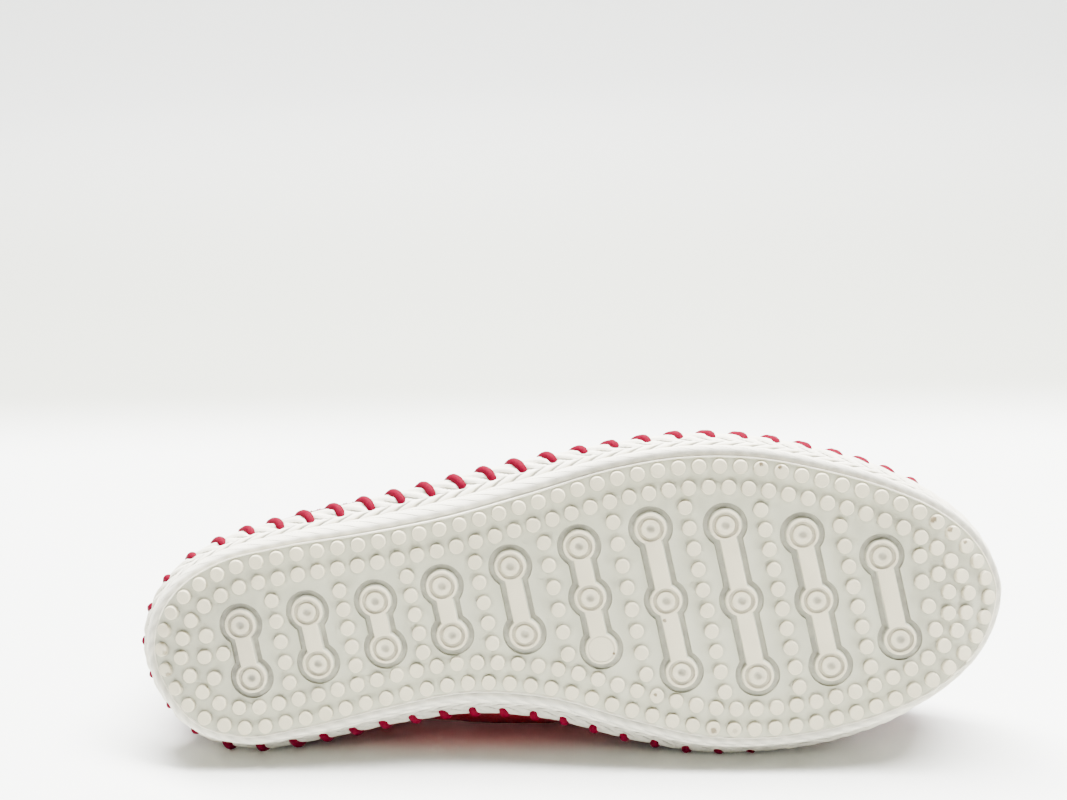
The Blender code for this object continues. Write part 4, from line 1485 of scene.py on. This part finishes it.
class UpperBuilder(bpy.types.Operator):
    """Makes the leather upper with its folded topline, gathers, creases and lining"""

    bl_idname = "slip_on.upper"
    bl_label = "Leather upper"

    def execute(self, context):
        settings = main_settings()
        edge = outline(UPPER_STEPS)
        grid = upper_grid(edge)
        grid = grid + normals_of(grid) * self.relief(grid, edge, settings)[..., None]
        finish = settings.finish
        materials = [
            leather_finish("red_leather", finish.leather),
            leather_finish("lining_leather", finish.lining, 0.6, 0.06, 0.6),
        ]
        count = grid.shape[1]
        piece = new_piece("leather_upper", grid.reshape(-1, 3), bands(len(grid), count), materials)
        weld(piece, lambda work: bmesh.ops.recalc_face_normals(work, faces=work.faces))
        on_floor(piece)
        thicken(piece, "wall", settings.upper.wall, lining=1)
        settle(piece, "upper")
        return {"FINISHED"}

    @staticmethod
    def relief(grid, edge, settings):
        """Height of the folds, gathers and creases over the plain upper."""
        sizes = settings.upper
        x, y, z = grid[..., 0], grid[..., 1], grid[..., 2]
        over_rim = z - edge["rim"][None, :]
        run, whole = wall_run(edge)
        turns = stitch_number(run / whole, settings.stitch)
        turns = turns + settings.stitch.lean / MM / (whole / settings.stitch.count)
        waves = (0.5 + 0.5 * np.cos(2 * math.pi * turns))[None, :]
        pucker = -sizes.pucker / MM * within(over_rim, *GATHER_HEIGHTS) * waves
        fold = sizes.fold / MM
        folded = 1 - smooth(fold - FOLD_EDGE, fold + FOLD_EDGE, topline_distance(grid))
        behind = (1 - smooth(*TUCK_SIDE, y)) * (1 - smooth(*TUCK_STATIONS, x))
        tuck = -TUCK_DEPTH * behind * within(over_rim, *TUCK_HEIGHTS)
        depth, half_width = BACK_SEAM
        seam = -depth * hump(np.minimum(run, whole - run)[None, :], 0, half_width)
        seam = seam * smooth(*BACK_SEAM_HEIGHTS, over_rim)
        crease = np.zeros_like(x)
        stations, offsets, _ = np.array(TOP_LINE).T
        side = np.abs(y - np.interp(x, stations, offsets))
        swell, swell_place = CREASE_SWELL
        for station, bend, half_width, share in VAMP_CREASES:
            off = x - station - bend * side
            trough = swell * hump(off, swell_place * half_width, half_width) - hump(off, 0, half_width)
            crease = crease + sizes.crease / MM * share * within(side, *CREASE_SIDES) * trough
        crease = crease * smooth(*CREASE_HEIGHTS, z)
        return pucker + folded * sizes.fold_relief / MM + seam + crease + tuck


class ToplineBuilder(bpy.types.Operator):
    """Makes the row of thread stitches under the topline"""

    bl_idname = "slip_on.topline"
    bl_label = "Topline seam"

    def execute(self, context):
        settings = main_settings()
        sizes = settings.stitch
        line = self.seam_line(settings)
        run = run_of(line)
        count = round(run[-1] / (sizes.seam_pitch / MM))
        pitch = run[-1] / count
        radius = sizes.thread_width / MM / 2
        points, edges = [], []
        for number in range(count):
            start = len(points)
            for share, sink in SEAM_PATH:
                at = (number + share) * pitch
                place = [np.interp(at, run, column) for column in line.T]
                points.append(np.array(place[:3]) - np.array(place[3:]) * sink * radius)
            edges += chain(start, len(SEAM_PATH))
        inputs = {
            "Radius": sizes.thread_width / 2,
            "Sides": SEAM_SIDES,
            "Points": SEAM_POINTS,
            "Material": cord_finish("red_thread", settings.finish.cord),
        }
        piece = grown("topline_seam", points, edges, cord_tree(), inputs)
        on_floor(piece)
        settle(piece, "upper", replaced=False)
        return {"FINISHED"}

    @staticmethod
    def seam_line(settings):
        """Rows of place and outward direction along the seam, from the heel round the throat and back."""
        edge = outline(UPPER_STEPS)
        plain = upper_grid(edge)
        normal = normals_of(plain)
        away = topline_distance(plain)
        grid = plain + normal * UpperBuilder.relief(plain, edge, settings)[..., None]
        inset = settings.stitch.seam_inset / MM
        rows = []
        for column in range(grid.shape[1]):
            reach = away[::-1, column]
            if reach[0] >= inset:
                continue
            stop = int(np.argmax(reach > inset))
            share = (inset - reach[stop - 1]) / (reach[stop] - reach[stop - 1])
            both = np.concatenate([grid[::-1, column], normal[::-1, column]], 1)
            rows.append(both[stop - 1] * (1 - share) + both[stop] * share)
        return np.array(rows + rows[:1])


class InsoleBuilder(bpy.types.Operator):
    """Makes the insole that lies on the cup's floor"""

    bl_idname = "slip_on.insole"
    bl_label = "Insole"

    def execute(self, context):
        settings = main_settings()
        edge = outline(INSOLE_STEPS)
        inset = edge["flare"] * CUP_FOOT_REACH - RIM_WIDTH - settings.upper.wall / MM - INSOLE_GAP
        place = beside(edge, inset)
        bottom = edge["floor"] + GAP
        points = []
        count = len(place)
        across = np.linspace(0, 1, INSOLE_ACROSS + 1)
        for i in range(INSOLE_STEPS + 1):
            outer, inner = i, (count - i) % count
            for share in across:
                flat = place[outer] * (1 - share) + place[inner] * share
                edge_share = abs(2 * share - 1)
                along = i / INSOLE_STEPS
                dish = -INSOLE_DISH * (1 - edge_share**3) * math.sin(math.pi * along) ** 0.5
                round_off = -INSOLE_EDGE * max(edge_share, abs(2 * along - 1)) ** INSOLE_EDGE_POWER
                height = bottom[outer] * (1 - share) + bottom[inner] * share
                points.append((*flat, height + INSOLE_THICKNESS + dish + round_off))
        wide = INSOLE_ACROSS + 1
        faces = [
            (r * wide + c, (r + 1) * wide + c, (r + 1) * wide + c + 1, r * wide + c + 1)
            for r in range(INSOLE_STEPS)
            for c in range(INSOLE_ACROSS)
        ]
        material = leather_finish("insole_leather", settings.finish.insole, 0.7, 0.05, 0.6)
        piece = new_piece("insole_board", points, faces, [material])
        sliver = WELD_REACH * MM / 10
        weld(piece, lambda work: bmesh.ops.dissolve_degenerate(work, edges=work.edges, dist=sliver))
        thicken(piece, "board", (INSOLE_THICKNESS - INSOLE_EDGE) * MM)
        settle(piece, "insole")
        return {"FINISHED"}


class StageBuilder(bpy.types.Operator):
    """Makes the floor and its backdrop, the camera and the lights"""

    bl_idname = "slip_on.stage"
    bl_label = "Stage"

    def execute(self, context):
        self.make_floor()
        self.make_camera(context)
        self.make_lights(context)
        return {"FINISHED"}

    @staticmethod
    def make_floor():
        """A wide pale floor that curves up into a wall on all sides, nearest behind the shoe."""
        turns = np.linspace(0, math.pi / 2, FLOOR_BEND_STEPS)
        profile = [(FLOOR_REACH + FLOOR_BEND * math.sin(a), FLOOR_BEND * (1 - math.cos(a))) for a in turns]
        profile.append((FLOOR_REACH + FLOOR_BEND, FLOOR_TOP))
        points = []
        for radius, height in profile:
            points += [(*place, height) for place in FLOOR_CENTRE + radius * circle(FLOOR_SIDES)]
        faces = [tuple(reversed(face)) for face in bands(len(profile), FLOOR_SIDES)]
        mesh = bpy.data.meshes.new("floor")
        mesh.from_pydata(points, [], faces + [tuple(range(FLOOR_SIDES))])
        mesh.shade_smooth()
        floor = placed("floor", mesh)
        finish = Finish("pale_floor")
        # Painted red bounce light and shadow on the floor near the upper's inner side.
        away = finish.place
        for operation, by in (("SUBTRACT", RED_BOUNCE_PLACE), ("DIVIDE", RED_BOUNCE_REACH), ("LENGTH", (0, 0, 0))):
            away = finish.node("ShaderNodeVectorMath", {0: away, 1: by}, operation=operation)
            away = away.outputs["Value" if operation == "LENGTH" else "Vector"]
        share = finish.span(away, *RED_BOUNCE_FADE)
        colours = main_settings().finish
        colour = finish.blend(share, tuple(colours.floor), tuple(colours.painted_red_bounce))
        # Painted shade behind the shoe: the floor turns to the greyer backdrop colour for the light's
        # falloff, and back further off.
        behind = finish.node("ShaderNodeSeparateXYZ", {"Vector": finish.place}).outputs["Y"]
        begun, left = finish.span(behind, *FALLOFF_SHADE_START), finish.span(behind, *FALLOFF_SHADE_END, 1, 0)
        share = finish.math("MULTIPLY", begun, left)
        colour = finish.blend(share, colour, tuple(colours.backdrop))
        finish.shade(base_color=colour, roughness=0.32)
        mesh.materials.append(finish.material)
        floor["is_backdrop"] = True

    @staticmethod
    def make_camera(context):
        """A camera at the photograph's angle."""
        data = bpy.data.cameras.new("camera")
        data.sensor_width = SENSOR_WIDTH
        data.lens = CAMERA_LENS
        data.clip_start = CAMERA_NEAR
        camera = placed("camera", data)
        turn = Vector(CAMERA_TURN)
        axes = Matrix.Rotation(turn.length, 3, turn.normalized()).transposed()
        lay = Matrix(LAID.tolist())
        turned = lay.to_3x3() @ axes @ Matrix.Diagonal((1, -1, -1))
        camera.matrix_world = Matrix.Translation(lay @ (Vector(CAMERA_PLACE) * MM)) @ turned.to_4x4()
        context.scene.camera = camera

    @staticmethod
    def make_lights(context):
        """A wide soft light overhead, one on the backdrop, a weak fill and a dim room."""
        for name, place, aim, size, power in LIGHTS:
            data = bpy.data.lights.new(name, "AREA")
            data.shape = "RECTANGLE"
            data.size, data.size_y = size
            data.energy = power
            light = placed(name, data)
            light.location = place
            light.rotation_mode = "QUATERNION"
            light.rotation_quaternion = (Vector(aim) - Vector(place)).to_track_quat("-Z", "Y")
        world = bpy.data.worlds.new("room")
        world.use_nodes = True
        sky = world.node_tree.nodes["Background"]
        sky.inputs["Color"].default_value = ROOM_COLOUR
        sky.inputs["Strength"].default_value = ROOM_STRENGTH
        context.scene.world = world


class SlipOnPanel(bpy.types.Panel):
    """Sizes, colours and pieces of the slip-on"""

    bl_idname = "VIEW3D_PT_slip_on"
    bl_label = "Slip-on"
    bl_space_type = "VIEW_3D"
    bl_region_type = "UI"
    bl_category = "Slip-on"

    def draw(self, context):
        settings = context.scene.slip_on
        for group in (settings.tread, settings.wall, settings.stitch, settings.upper, settings.finish):
            box = self.layout.box()
            for name in group.bl_rna.properties.keys():
                if name not in ("rna_type", "name"):
                    box.prop(group, name)
        for builder in BUILDERS:
            self.layout.operator(builder.bl_idname)


BUILDERS = (
    StageBuilder,
    TreadBuilder,
    StudBuilder,
    WallBuilder,
    StitchBuilder,
    UpperBuilder,
    ToplineBuilder,
    InsoleBuilder,
)
CLASSES = (
    TreadSizes, WallSizes, StitchSizes, UpperSizes, Finishes, SlipOnSettings, *BUILDERS, SlipOnPanel,
)


def register():
    """Registers the settings, the operators and the panel."""
    for item in CLASSES:
        bpy.utils.register_class(item)
    bpy.types.Scene.slip_on = PointerProperty(type=SlipOnSettings)


def unregister():
    """Takes the settings, the operators and the panel away again."""
    del bpy.types.Scene.slip_on
    for item in reversed(CLASSES):
        bpy.utils.unregister_class(item)


def main():
    """Builds every piece."""
    register()
    bpy.ops.slip_on.stage()
    bpy.ops.slip_on.tread()
    bpy.ops.slip_on.studs()
    bpy.ops.slip_on.wall()
    bpy.ops.slip_on.stitches()
    bpy.ops.slip_on.upper()
    bpy.ops.slip_on.topline()
    bpy.ops.slip_on.insole()
    boxes = {"cad": CAD_BOX, "visual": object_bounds()}
    {name: [list(corner) for corner in box] for name, box in boxes.items()}


if __name__ == "__main__":
    main()
